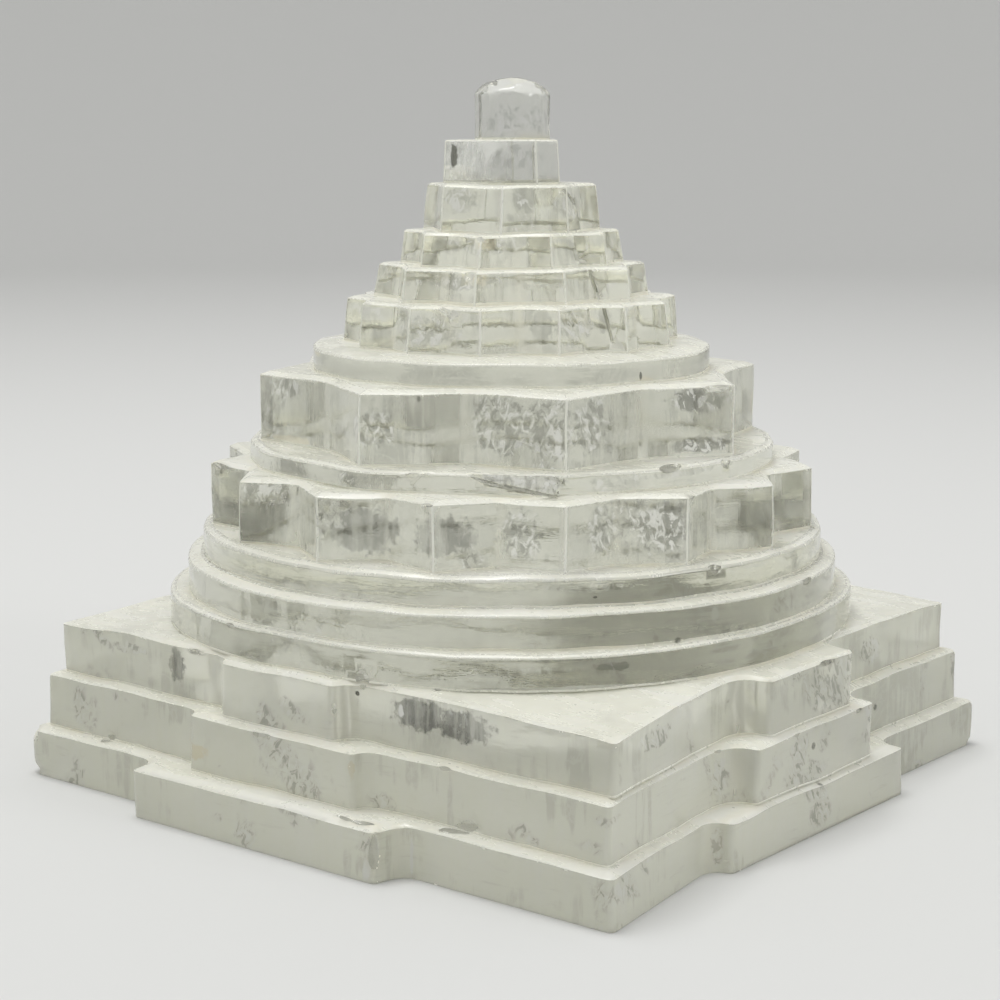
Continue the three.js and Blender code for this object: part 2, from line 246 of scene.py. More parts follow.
@dataclass
class WornCorner:
    """One corner of a square tier, rubbed round.

    Attributes:
        node: The tier's CAD node.
        corner: Where the corner stood, in x and y.
        foot: Height of the tier's foot.
        top: Height of the corner's top.
        radius: How round it is worn.
        round_foot: Whether the foot is worn as well as the top.
    """

    node: str
    corner: tuple[float, float]
    foot: float
    top: float
    radius: float
    round_foot: bool = False

    def cuts(self) -> list[tuple[int, float]]:
        """Lists the planes that give the corner enough points to become round.

        Returns:
            The axis and the place of each plane.
        """
        steps = [self.radius * share for share in (0.25, 0.5, 0.78, 1.02)]
        places = [(axis, math.copysign(abs(self.corner[axis]) - step, self.corner[axis]))
                  for axis in (0, 1) for step in steps]
        places += [(2, self.top - step) for step in steps]
        if self.round_foot:
            places += [(2, self.foot + step) for step in steps]
        return places

    def rub(self, points: np.ndarray) -> None:
        """Pulls the points that stick out past the round corner back to it.

        Args:
            points: All points of the tier, changed in place.
        """
        side = np.sign(np.array(self.corner))
        centre = np.array(self.corner) - side * self.radius
        across = (points[:, :2] - centre) * side
        rise = np.maximum(points[:, 2] - (self.top - self.radius), 0.0)
        if self.round_foot:
            rise -= np.maximum(self.foot + self.radius - points[:, 2], 0.0)
        length = np.sqrt(across[:, 0] ** 2 + across[:, 1] ** 2 + rise ** 2)
        inside = (points[:, 2] > self.foot - TOUCH) & (points[:, 2] < self.top + 5.0 * TOUCH)
        out = inside & (across[:, 0] > 0.0) & (across[:, 1] > 0.0) & (length > self.radius)
        pull = (self.radius / length[out])[:, None]
        lift = rise[out] * (pull[:, 0] - 1.0)
        points[out, :2] = centre + across[out] * pull * side
        points[out, 2] += lift


@dataclass
class Stone:
    """The whole crystal: sixteen tiers of one body, chipped and worn, then parted along the creases.

    Attributes:
        tiers: Every tier from the ground up.
        chips: The flakes that are placed one by one.
        corners: The corners that are worn round.
        facets: Height angle in degrees, depth and number of each ring of flats ground on the bindu.
        facet_shift: How far a flat may stray along its ring, as a share of its part of the ring.
        facet_lean: How far it may stray up or down, in degrees.
        facet_depth: Least and greatest depth of a flat, as a share of its ring's.
        merge_reach: Points of the CAD nearer together than this are made one.
        flat_turn: CAD triangles that turn less than this are joined.
        upright_share: An edge that rises more than this share of its length is an upright corner.
        flake_bump: How uneven the tools that take the flakes are, as a share of their size.
        flake_waves: How close their waves are.
        nick_count: How many small nicks are strewn along the rims.
        nick_size: Least and greatest half width of a nick, in millimetres.
        nick_depth: Least and greatest depth of a nick, as a share of its half width.
        nick_length: Least and greatest half length, as a share of its half width.
        nick_height: Least and greatest half height, as a share of its half width.
        nick_lean: How far a nick may lean, in degrees.
        nick_turn: An edge that turns at least this far out may be nicked.
        nick_floor: An edge that stays lower than this isn't nicked.
        narrow_arris: An arris narrower than this is finished as a rim.
        outer_turn: An edge that turns at least this far out is rounded.
        line_turn: An edge that turns at least this far is an outer edge or a crease.
        line_step: Distance of the points strewn along those edges.
        rim_reach: How far from an outer edge handling has bruised the stone and a highlight is painted.
        crease_reach: How far from a crease the polishing paste reaches.
        cell: Side of the net that the surface is cut into before it is worn.
        net_shift: How far the net is moved along each axis, as a share of a cell.
        painted_light_foot_strip: Height of the strip at the foot of a wall that is finished as the ledge is,
            painted light that lifts the dark line in the crease.
        rim_strip: How far below each ledge the net has one more cut.
        ground_slope: The normals of the underside point down at least this far.
        ground_reach: How near the ground the underside is.
        ledge_slope: The normals of the ledges point up at least this far.
        sway: How far the slow unevenness of hand carving moves the surface.
        sway_grain: How wide its waves are.
        ripple: How far the quick unevenness of grinding moves it.
        ripple_grain: How wide its waves are.
        calm_foot: Height above the ground at which the unevenness has its full strength.
        small_cut: A cut with more points than this runs round the axis.
        smooth_angle: Edges below this angle are shaded smooth.
        seed: Seed of the strewn nicks.
    """

    tiers: list[TierCut] = field(default_factory=lambda: [
        TierCut("square_tier_lower", Skin.BASE_WALL, 0.9 * MM, 0.22 * MM),
        TierCut("square_tier_middle", Skin.BASE_WALL, 0.6 * MM, 0.22 * MM),
        TierCut("square_tier_upper", Skin.BASE_WALL, 0.7 * MM, 0.25 * MM),
        TierCut("ring_lower", Skin.BAND_WALL, 0.0, 0.14 * MM),
        TierCut("ring_middle", Skin.BAND_WALL, 0.0, 0.2 * MM),
        TierCut("ring_upper", Skin.BAND_WALL, 0.0, 0.2 * MM),
        TierCut("sixteen_petal_lotus", Skin.PETAL_WALL, 0.14 * MM, 0.2 * MM),
        TierCut("lotus_band", Skin.BAND_WALL, 0.0, 0.14 * MM),
        TierCut("eight_petal_lotus", Skin.PETAL_WALL, 0.14 * MM, 0.25 * MM),
        TierCut("star_band", Skin.BAND_WALL, 0.0, 0.22 * MM),
        TierCut("fourteen_point_star", Skin.CROWN_WALL, 0.13 * MM, 0.12 * MM),
        TierCut("outer_ten_point_star", Skin.CROWN_WALL, 0.13 * MM, 0.12 * MM),
        TierCut("inner_ten_point_star", Skin.CROWN_WALL, 0.12 * MM, 0.1 * MM),
        TierCut("eight_point_star", Skin.CROWN_WALL, 0.13 * MM, 0.12 * MM),
        TierCut("triangle_tier", Skin.TOP_WALL, 0.15 * MM, 0.1 * MM, across=0.95),
        TierCut("bindu", Skin.TOP_WALL, 0.0, 0.0, tall=0.9, crisp=0.35),
    ])
    chips: list[Chip] = field(default_factory=lambda: [
        # The long break on the lotus band and a short one to its right
        Chip(mm(18.1, -22.3, 36.5), mm(4.4, 0.9, 1.35), (10.0, 12.0, 39.0), True),
        Chip(mm(27.0, -8.8, 36.9), mm(1.1, 2.6, 0.9), (0.0, 0.0, 18.0)),
        # Breaks that taper downwards on the three lower star tiers
        Chip(mm(4.6, -16.4, 52.0), mm(1.5, 0.9, 1.5), (14.0, 45.0, 4.0), True),
        Chip(mm(5.0, -13.7, 55.7), mm(1.2, 0.8, 1.2), (14.0, 45.0, 12.0), True),
        Chip(mm(4.3, -11.4, 59.1), mm(0.9, 0.8, 0.9), (10.0, 45.0, 10.0), True),
        # The fracture that slants down across the star tiers
        Chip(mm(8.6, 0.2, 61.3), mm(3.6, 0.2, 0.22), (0.0, 35.4, 92.0)),
        Chip(mm(11.9, -2.0, 53.9), mm(2.8, 0.24, 0.24), (0.0, 55.7, 0.0)),
        Chip(mm(15.0, -3.3, 49.9), mm(3.2, 0.22, 0.22), (0.0, 42.6, -33.9)),
        # Knocks on the gates of the upper, middle and lower square, and on the foot of the right corner
        Chip(mm(9.7, -36.1, 17.4), mm(1.5, 1.4, 1.7), (0.0, 0.0, 30.0)),
        Chip(mm(12.7, -38.7, 11.6), mm(1.6, 1.0, 1.2), (0.0, 30.0, 0.0)),
        Chip(mm(38.7, -13.2, 12.0), mm(1.6, 1.6, 1.0), (25.0, 0.0, 0.0)),
        Chip(mm(16.3, -41.5, 3.4), mm(0.8, 0.9, 2.8), (0.0, 8.0, 0.0)),
        Chip(mm(39.2, 38.8, -0.3), mm(3.0, 3.0, 1.7), (0.0, 0.0, 45.0)),
    ])
    corners: list[WornCorner] = field(default_factory=lambda: [
        WornCorner("square_tier_lower", mm(-37.6, -37.6), 0.0, 5.25 * MM, 1.7 * MM, round_foot=True),
        WornCorner("square_tier_lower", mm(37.6, 37.6), 0.0, 5.25 * MM, 1.0 * MM),
        WornCorner("square_tier_lower", mm(-37.6, 37.6), 0.0, 5.25 * MM, 1.4 * MM, round_foot=True),
        WornCorner("square_tier_middle", mm(-36.1, -36.1), 5.3 * MM, 11.25 * MM, 0.8 * MM),
        WornCorner("square_tier_middle", mm(36.1, 36.1), 5.3 * MM, 11.25 * MM, 0.9 * MM),
        WornCorner("square_tier_middle", mm(-36.1, 36.1), 5.3 * MM, 11.25 * MM, 0.9 * MM),
        WornCorner("square_tier_upper", mm(-34.9, -34.9), 11.3 * MM, 17.15 * MM, 0.7 * MM),
        WornCorner("square_tier_upper", mm(34.9, 34.9), 11.3 * MM, 17.15 * MM, 0.9 * MM),
        WornCorner("square_tier_upper", mm(-34.9, 34.9), 11.3 * MM, 17.15 * MM, 0.8 * MM),
    ])
    facets: list[tuple[float, float, int]] = field(default_factory=lambda: [
        (0.0, 0.1 * MM, 13), (44.0, 0.2 * MM, 8), (60.0, 0.14 * MM, 6), (76.0, 0.08 * MM, 3)])
    facet_shift: float = 0.22
    facet_lean: float = 4.0
    facet_depth: tuple[float, float] = (0.6, 1.4)
    merge_reach: float = 0.002 * MM
    flat_turn: float = math.radians(1.0)
    upright_share: float = 0.8
    flake_bump: float = 0.05
    flake_waves: float = 5.0
    nick_count: int = 64
    nick_size: tuple[float, float] = (0.25, 0.65)
    nick_depth: tuple[float, float] = (0.15, 0.35)
    nick_length: tuple[float, float] = (1.2, 4.0)
    nick_height: tuple[float, float] = (0.8, 1.5)
    nick_lean: float = 14.0
    nick_turn: float = math.radians(14.0)
    nick_floor: float = 1.0 * MM
    narrow_arris: float = 0.2 * MM
    outer_turn: float = math.radians(12.0)
    line_turn: float = math.radians(16.0)
    line_step: float = 0.4 * MM
    rim_reach: float = 0.45 * MM
    crease_reach: float = 0.9 * MM
    cell: float = 1.3 * MM
    net_shift: float = 0.013
    painted_light_foot_strip: float = 0.22 * MM
    rim_strip: float = 0.7 * MM
    ground_slope: float = -0.9
    ground_reach: float = 0.1 * MM
    ledge_slope: float = 0.3
    sway: float = 0.45 * MM
    sway_grain: float = 9.0 * MM
    ripple: float = 0.06 * MM
    ripple_grain: float = 1.8 * MM
    calm_foot: float = 2.0 * MM
    small_cut: int = 40
    smooth_angle: float = math.radians(28.0)
    seed: int = 41

    def build(self, nodes: dict[str, bpy.types.Object]) -> list[bpy.types.Object]:
        """Makes the worn crystal and parts it into one closed piece per tier.

        Args:
            nodes: The CAD nodes by name.

        Returns:
            One object per tier, from the ground up.
        """
        levels = [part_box(tier.node)[0].z for tier in self.tiers]
        blocks = [self.rough_tier(nodes[tier.node], tier) for tier in self.tiers]
        whole = self.join_blocks(blocks)
        LOG.info("stone joined: %d faces", len(whole.data.polygons))
        self.knock_chips(whole)
        LOG.info("stone chipped: %d faces", len(whole.data.polygons))
        rims, creases = self.sharp_lines(whole)
        self.cut_net(whole, levels)
        self.paint_lines(whole, rims, creases)
        tier_of_face = self.mark_faces(whole, levels)
        self.wear(whole)
        LOG.info("stone worn: %d faces", len(whole.data.polygons))
        pieces = [self.part_tier(whole, tier, tier_of_face == place) for place, tier in enumerate(self.tiers)]
        bpy.data.objects.remove(whole)
        return pieces

    def rough_tier(self, node: bpy.types.Object, tier: TierCut) -> bpy.types.Object:
        """Copies one CAD tier, clears its loose triangles and rounds its edges.

        Args:
            node: The CAD node.
            tier: How its edges are rounded.

        Returns:
            The rounded tier.
        """
        block = bpy.data.objects.new("block_" + tier.node, node.data.copy())
        bpy.context.scene.collection.objects.link(block)
        make_active(block)
        bpy.ops.object.mode_set(mode="EDIT")
        bpy.ops.mesh.select_all(action="SELECT")
        bpy.ops.mesh.remove_doubles(threshold=self.merge_reach)
        bpy.ops.mesh.dissolve_limited(angle_limit=self.flat_turn)
        bpy.ops.object.mode_set(mode="OBJECT")
        points = points_of(block.data)
        foot = float(points[:, 2].min())
        points = (points - (0.0, 0.0, foot)) * (tier.across, tier.across, tier.tall) + (0.0, 0.0, foot)
        block.data.vertices.foreach_set("co", points.ravel())
        block.data.update()
        block.data.materials.clear()
        for _ in Skin:
            block.data.materials.append(None)
        block.data.polygons.foreach_set("material_index", [tier.wall.value] * len(block.data.polygons))
        narrow = tier.arris < self.narrow_arris
        self.round_edges(block, tier.arris, upright=True, skin=Skin.RIM.value if narrow else -1)
        self.round_edges(block, tier.rim, upright=False, skin=Skin.RIM.value)
        for corner in self.corners:
            if corner.node == tier.node:
                self.rub_corner(block, corner)
        if tier.node == "bindu":
            self.grind_flats(block)
        return block

    def rub_corner(self, block: bpy.types.Object, corner: WornCorner) -> None:
        """Cuts a fine net round one corner of a tier and rubs it round.

        Args:
            block: The tier.
            corner: The corner to wear.
        """
        make_active(block)
        bpy.ops.object.mode_set(mode="EDIT")
        for axis, reach in corner.cuts():
            place, normal = Vector(), Vector()
            place[axis], normal[axis] = reach, 1.0
            bpy.ops.mesh.select_all(action="SELECT")
            bpy.ops.mesh.bisect(plane_co=place, plane_no=normal)
        bpy.ops.object.mode_set(mode="OBJECT")
        points = points_of(block.data)
        corner.rub(points)
        block.data.vertices.foreach_set("co", points.ravel())
        block.data.update()

    def grind_flats(self, block: bpy.types.Object) -> None:
        """Grinds the small flats that a hand-cut bindu has on its side and dome.

        Args:
            block: The bindu.
        """
        chance = random.Random(self.seed + 2)
        make_active(block)
        bpy.ops.object.mode_set(mode="EDIT")
        bpy.ops.mesh.select_all(action="SELECT")
        bpy.ops.mesh.subdivide(number_cuts=2)
        bpy.ops.object.mode_set(mode="OBJECT")
        points = points_of(block.data)
        for height, depth, count in self.facets:
            start = chance.uniform(0.0, 360.0)
            for step in range(count):
                shift = chance.uniform(-self.facet_shift, self.facet_shift)
                around = math.radians(start + (step + shift) * 360.0 / count)
                lean = chance.uniform(-self.facet_lean, self.facet_lean) * (height > 0.0)
                up = math.radians(height + lean)
                normal = np.array([math.cos(around) * math.cos(up), math.sin(around) * math.cos(up),
                                   math.sin(up)])
                reach = float((points @ normal).max()) - depth * chance.uniform(*self.facet_depth)
                points -= np.maximum(points @ normal - reach, 0.0)[:, None] * normal
        block.data.vertices.foreach_set("co", points.ravel())
        block.data.update()
        LOG.info("bindu ground: %d faces", len(block.data.polygons))

    def round_edges(self, block: bpy.types.Object, width: float, upright: bool, skin: int) -> None:
        """Rounds the upright corners or the rim of a tier, never the foot that stands on another.

        Args:
            block: The tier.
            width: Width of the rounding.
            upright: True for the corners, False for the rim.
            skin: Skin of the rounding, or -1 to keep the wall's.
        """
        if width <= 0.0:
            return
        foot = min(v.co.z for v in block.data.vertices)
        on_ground = foot < TOUCH
        work = bmesh.new()
        work.from_mesh(block.data)
        marked = []
        for edge in work.edges:
            if len(edge.link_faces) != 2 or edge.calc_face_angle_signed(0.0) < self.outer_turn:
                continue
            a, b = (v.co for v in edge.verts)
            at_foot = max(a.z, b.z) < foot + TOUCH
            if at_foot and not on_ground:
                continue
            if (abs(a.z - b.z) > self.upright_share * (a - b).length) == upright:
                marked.append(edge.index)
        work.free()
        make_active(block)
        bpy.ops.object.mode_set(mode="EDIT")
        bpy.ops.mesh.select_mode(type="EDGE")
        bpy.ops.mesh.select_all(action="DESELECT")
        bpy.ops.object.mode_set(mode="OBJECT")
        for index in marked:
            block.data.edges[index].select = True
        bpy.ops.object.mode_set(mode="EDIT")
        bpy.ops.mesh.bevel(offset=width, segments=3, profile=0.5, clamp_overlap=True, material=skin)
        bpy.ops.object.mode_set(mode="OBJECT")

    def join_blocks(self, blocks: list[bpy.types.Object]) -> bpy.types.Object:
        """Unites the tiers into one body.

        Args:
            blocks: The tiers, from the ground up.

        Returns:
            The one body.
        """
        whole = blocks[0]
        for block in blocks[1:]:
            apply_modifier(whole, "BOOLEAN", operation="UNION", solver="MANIFOLD", object=block)
            bpy.data.objects.remove(block)
        whole.name = "stone"
        return whole

    def strewn_nicks(self, whole: bpy.types.Object) -> list[Chip]:
        """Chooses places for small nicks along the rims and corners.

        Args:
            whole: The crystal body.

        Returns:
            One chip per nick.
        """
        chance = random.Random(self.seed + 7)
        work = bmesh.new()
        work.from_mesh(whole.data)
        edges = [e for e in work.edges if len(e.link_faces) == 2
                 and e.calc_face_angle_signed(0.0) > self.nick_turn
                 and max(v.co.z for v in e.verts) > self.nick_floor]
        lengths = [e.calc_length() for e in edges]
        nicks = []
        for edge in chance.choices(edges, weights=lengths, k=self.nick_count):
            a, b = (v.co for v in edge.verts)
            spot = a.lerp(b, chance.random())
            out = (edge.link_faces[0].normal + edge.link_faces[1].normal).normalized()
            size = chance.uniform(*self.nick_size) * MM
            depth = size * chance.uniform(*self.nick_depth)
            middle = spot + out * (size - depth)
            long = size * chance.uniform(*self.nick_length)
            turn = (b - a).to_track_quat("X", "Z").to_euler()
            lean = [math.degrees(angle) + chance.uniform(-self.nick_lean, self.nick_lean) for angle in turn]
            tall = size * chance.uniform(*self.nick_height)
            nicks.append(Chip(tuple(middle), (long, size, tall), tuple(lean)))
        work.free()
        return nicks

    def knock_chips(self, whole: bpy.types.Object) -> None:
        """Takes every flake off the stone.

        Args:
            whole: The crystal body.
        """
        chance = random.Random(self.seed + 1)
        tools = bpy.data.collections.new("chip_tools")
        bpy.context.scene.collection.children.link(tools)
        for chip in self.chips + self.strewn_nicks(whole):
            deselect_all()
            if chip.square:
                bpy.ops.mesh.primitive_cube_add(size=2.0, location=(0.0, 0.0, 0.0))
                bpy.ops.object.mode_set(mode="EDIT")
                bpy.ops.mesh.subdivide(number_cuts=5)
                bpy.ops.object.mode_set(mode="OBJECT")
            else:
                bpy.ops.mesh.primitive_ico_sphere_add(subdivisions=3, radius=1.0, location=(0.0, 0.0, 0.0))
            tool = bpy.context.object
            for other in list(tool.users_collection):
                other.objects.unlink(tool)
            tools.objects.link(tool)
            turn = Euler([math.radians(angle) for angle in chip.turn]).to_matrix()
            phase = [chance.uniform(0.0, 6.28) for _ in range(3)]
            for vertex in tool.data.vertices:
                waves = sum(math.sin(self.flake_waves * vertex.co[i] + phase[i]) for i in range(3))
                bump = 1.0 + self.flake_bump * waves
                worked = Vector([vertex.co[i] * chip.size[i] * bump for i in range(3)])
                vertex.co = turn @ worked + Vector(chip.place)
            for _ in Skin:
                tool.data.materials.append(None)
            tool.data.polygons.foreach_set("material_index", [Skin.CHIP.value] * len(tool.data.polygons))
        apply_modifier(whole, "BOOLEAN", operation="DIFFERENCE", solver="MANIFOLD",
                       operand_type="COLLECTION", collection=tools)
        for tool in list(tools.objects):
            bpy.data.objects.remove(tool)
        bpy.data.collections.remove(tools)

    def sharp_lines(self, whole: bpy.types.Object) -> tuple[kdtree.KDTree, kdtree.KDTree]:
        """Strews points along the outer edges and along the creases.

        Args:
            whole: The crystal body.

        Returns:
            The points on the outer edges, and the points in the creases.
        """
        work = bmesh.new()
        work.from_mesh(whole.data)
        rims, creases = [], []
        for edge in work.edges:
            if len(edge.link_faces) != 2:
                continue
            angle = edge.calc_face_angle_signed(0.0)
            if abs(angle) < self.line_turn:
                continue
            a, b = (v.co for v in edge.verts)
            count = max(1, int((a - b).length / self.line_step))
            line = [a.lerp(b, (i + 0.5) / count) for i in range(count)]
            (rims if angle > 0.0 else creases).extend(line)
        work.free()
        trees = []
        for line in (rims, creases):
            tree = kdtree.KDTree(len(line))
            for place, point in enumerate(line):
                tree.insert(point, place)
            tree.balance()
            trees.append(tree)
        return trees[0], trees[1]

    def cut_net(self, whole: bpy.types.Object, levels: list[float]) -> None:
        """Cuts the surface by planes along each axis, and just above and below each crease.

        Args:
            whole: The crystal body.
            levels: Height of the foot of each tier.
        """
        low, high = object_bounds()
        cell = self.cell * 1.0
        cuts = [(axis, low[axis] + (step + self.net_shift) * cell)
                for axis in range(3) for step in range(1, int((high[axis] - low[axis]) / cell) + 1)]
        cuts += [(2, level + shift) for level in levels[1:] for shift in (self.painted_light_foot_strip, -self.rim_strip)]
        make_active(whole)
        bpy.ops.object.mode_set(mode="EDIT")
        for axis, reach in cuts:
            place, normal = Vector(), Vector()
            place[axis], normal[axis] = reach, 1.0
            bpy.ops.mesh.select_all(action="SELECT")
            bpy.ops.mesh.bisect(plane_co=place, plane_no=normal)
        bpy.ops.object.mode_set(mode="OBJECT")

    def paint_lines(self, whole: bpy.types.Object, rims: kdtree.KDTree, creases: kdtree.KDTree) -> None:
        """Stores on each vertex how near it is to an outer edge and to a crease.

        Args:
            whole: The crystal body.
            rims: Points on the outer edges.
            creases: Points in the creases.
        """
        for name, tree, reach in (("rim", rims, self.rim_reach), ("crease", creases, self.crease_reach)):
            values = [math.exp(-(tree.find(v.co)[2] / reach) ** 2) for v in whole.data.vertices]
            layer = whole.data.attributes.new(name, "FLOAT", "POINT")
            layer.data.foreach_set("value", values)

    def mark_faces(self, whole: bpy.types.Object, levels: list[float]) -> np.ndarray:
        """Gives each face its skin, and finds the tier that it belongs to.

        Args:
            whole: The crystal body.
            levels: Height of the foot of each tier.

        Returns:
            The tier of each face, counted from the ground up.
        """
        faces = whole.data.polygons
        heights = np.empty(len(faces) * 3)
        faces.foreach_get("center", heights)
        heights = heights.reshape(-1, 3)[:, 2]
        tier_of_face = np.searchsorted(np.array(levels[1:]), heights - 0.001 * MM)
        feet = np.array(levels)
        for face, tier in zip(faces, tier_of_face):
            if face.material_index in (Skin.CHIP.value, Skin.RIM.value):
                continue
            if face.normal.z < self.ground_slope and face.center.z < self.ground_reach:
                face.material_index = Skin.UNDERSIDE.value
            elif tier < len(self.tiers) - 1 and face.normal.z > self.ledge_slope:
                face.material_index = Skin.LEDGE.value
            # The foot strip of each wall gets the brighter ledge finish: painted light that lifts the dark
            # line in the crease.
            elif tier > 0 and face.center.z < feet[tier] + self.painted_light_foot_strip:
                face.material_index = Skin.LEDGE.value
        return tier_of_face

    def wear(self, whole: bpy.types.Object) -> None:
        """Moves the surface a little, as hand carving leaves it, but not the ground face.

        Args:
            whole: The crystal body.
        """
        group = whole.vertex_groups.new(name="above_ground")
        for vertex in whole.data.vertices:
            group.add([vertex.index], min(1.0, max(0.0, vertex.co.z / self.calm_foot)), "REPLACE")
        for name, grain, strength in (("sway", self.sway_grain, self.sway),
                                      ("ripple", self.ripple_grain, self.ripple)):
            clouds = bpy.data.textures.new(name, "CLOUDS")
            clouds.cloud_type = "COLOR"
            clouds.noise_scale = grain
            clouds.noise_depth = 1
            apply_modifier(whole, "DISPLACE", texture=clouds, texture_coords="LOCAL", direction="RGB_TO_XYZ",
                           strength=strength, mid_level=0.5, vertex_group=group.name)
            bpy.data.textures.remove(clouds)

    def part_tier(self, whole: bpy.types.Object, tier: TierCut, own: np.ndarray) -> bpy.types.Object:
        """Takes one tier's faces off a copy of the stone and closes it with hidden faces.

        Args:
            whole: The worn crystal.
            tier: The tier to part.
            own: True for each face of this tier.

        Returns:
            The closed piece.
        """
        piece = bpy.data.objects.new("carved_" + tier.node, whole.data.copy())
        bpy.context.scene.collection.objects.link(piece)
        select_faces(piece, ~own)
        bpy.ops.mesh.delete(type="FACE")
        bpy.ops.mesh.select_all(action="SELECT")
        bpy.ops.mesh.quads_convert_to_tris(quad_method="BEAUTY", ngon_method="BEAUTY")
        bpy.ops.object.mode_set(mode="OBJECT")
        self.close_cuts(piece)
        bpy.ops.object.shade_smooth_by_angle(angle=self.smooth_angle * tier.crisp)
        return piece

    def close_cuts(self, piece: bpy.types.Object) -> None:
        """Closes each cut of a parted tier with hidden faces that fan out from its middle.

        Args:
            piece: The parted tier.
        """
        work = bmesh.new()
        work.from_mesh(piece.data)
        waiting = dict.fromkeys(edge for edge in work.edges if edge.is_boundary)
        while waiting:
            cut, reached = [], [waiting.popitem()[0]]
            while reached:
                edge = reached.pop()
                cut.append(edge)
                for other in [other for vertex in edge.verts for other in vertex.link_edges]:
                    if other in waiting:
                        del waiting[other]
                        reached.append(other)
            ends = dict.fromkeys(vertex for edge in cut for vertex in edge.verts)
            middle = sum((vertex.co for vertex in ends), Vector()) / len(ends)
            if len(ends) > self.small_cut:
                middle.x = middle.y = 0.0
            hub = work.verts.new(middle)
            for edge in cut:
                work.faces.new((*edge.verts, hub)).material_index = Skin.HIDDEN.value
        bmesh.ops.recalc_face_normals(work, faces=work.faces)
        volume = work.calc_volume(signed=True)
        if volume < 0.0:
            bmesh.ops.reverse_faces(work, faces=work.faces)
        work.to_mesh(piece.data)
        uneven = sum(1 for edge in work.edges if len(edge.link_faces) != 2)
        work.free()
        LOG.info("%s: %.0f cubic mm, %d edges without two faces", piece.name, abs(volume) / MM ** 3, uneven)


# Finishes

STROKE_MILK = 0.25
WISP_MILK = 0.4
# Painted shade of the veils' clear windows.
WINDOW_SHADE = 0.8
# Painted shade of the crack patches.
PATCH_SHADE = 0.6
SCRATCH_DEPTH = 0.4
# Painted shade of the gaps between the flecks.
GAP_SHADE = 0.75
STAIN_STRENGTH = 0.75
SPECK_STRENGTH = 0.8
FROST_ROUGHNESS = 0.4
# Near white of the healed cracks' flecks, which are partly painted glints, and of the glints, which are
# painted highlights
FLECK_AND_GLINT_COLOUR: Colour = (0.995, 0.995, 0.98)
STAIN_COLOUR: Colour = (0.93, 0.85, 0.62)
# Bruised, frosted rims, lightened as well by a painted highlight.
BRUISE_AND_HIGHLIGHT_COLOUR: Colour = (0.97, 0.97, 0.93)
PASTE_COLOUR: Colour = (0.95, 0.91, 0.76)
INK_COLOUR: Colour = (0.1, 0.1, 0.08)


@dataclass(frozen=True)
class Flaw:
    """One flaw, painted highlight or painted shade that the photograph shows; lengths in millimetres.

    Attributes:
        kind: Crack, glint, ink, stain or the dark clear windows; glints are painted highlights and the dark
            windows painted shade.
        place: Its middle.
        wide: Half its width.
        tall: Half its height.
    """

    kind: str
    place: Triple
    wide: float
    tall: float


def flaws_of(kind: str, *rows: tuple[float, ...]) -> tuple[Flaw, ...]:
    """Makes the flaws of one kind.

    Args:
        kind: What they all are.
        *rows: For each flaw its middle in x, y and z, half its width and half its height.

    Returns:
        One flaw per row.
    """
    return tuple(Flaw(kind, row[:3], *row[3:]) for row in rows)


# Where the photograph shows flaws, by the skin that they lie in
# Besides flaws, these tables place glints, which are painted highlights, and dark clear windows, which are
# painted shade.

BASE_FLAWS = (
    *flaws_of("painted_shade_window", (16.6, -34.8, 15.2, 3.4, 1.7), (22.0, -34.8, 14.9, 3.6, 1.5),
              (-16.6, -34.8, 14.8, 1.2, 1.9)),
    *flaws_of("crack", (38.1, -26.9, 15.0, 3.0, 1.0), (-23.8, -34.8, 15.4, 3.0, 0.6),
              (37.3, -15.0, 8.2, 1.3, 2.2), (39.4, -18.1, 2.7, 0.7, 2.2), (34.8, 18.2, 14.1, 2.0, 1.5),
              (40.1, -4.7, 9.1, 1.8, 1.6)),
    *flaws_of("glint", (17.9, -37.6, 2.2, 0.16, 2.2), (15.3, -41.1, 1.2, 0.5, 1.2),
              (14.3, -34.8, 15.1, 0.4, 0.6), (39.9, -30.8, 4.7, 0.35, 0.35)),
    *flaws_of("stain", (10.8, -38.1, 9.3, 0.5, 1.3), (-11.4, -38.1, 7.3, 2.6, 0.9),
              (-13.3, -35.5, 11.3, 1.2, 0.4)),
    *flaws_of("ink", (9.0, -35.1, 16.0, 0.3, 0.3)),
)
BAND_FLAWS = (
    *flaws_of("painted_shade_window", (30.0, -22.0, 19.4, 1.8, 0.4)),
    *flaws_of("crack", (18.2, -21.4, 35.7, 4.2, 0.9), (26.6, -7.2, 35.9, 4.6, 0.4),
              (26.3, -21.0, 26.4, 5.0, 0.4), (24.5, -28.1, 19.3, 5.0, 0.4)),
    *flaws_of("glint", (33.7, -10.5, 22.9, 0.5, 0.8)),
    *flaws_of("stain", (-12.3, -17.5, 46.3, 1.6, 0.7), (24.0, 12.8, 36.5, 1.5, 0.8),
              (-17.6, -26.1, 27.6, 2.1, 0.4), (-3.2, -19.1, 46.8, 2.0, 0.4), (20.9, -4.6, 44.3, 1.2, 0.5)),
    *flaws_of("ink", (20.7, -5.2, 44.9, 0.2, 0.5), (26.6, -20.6, 25.4, 0.3, 0.15)),
)
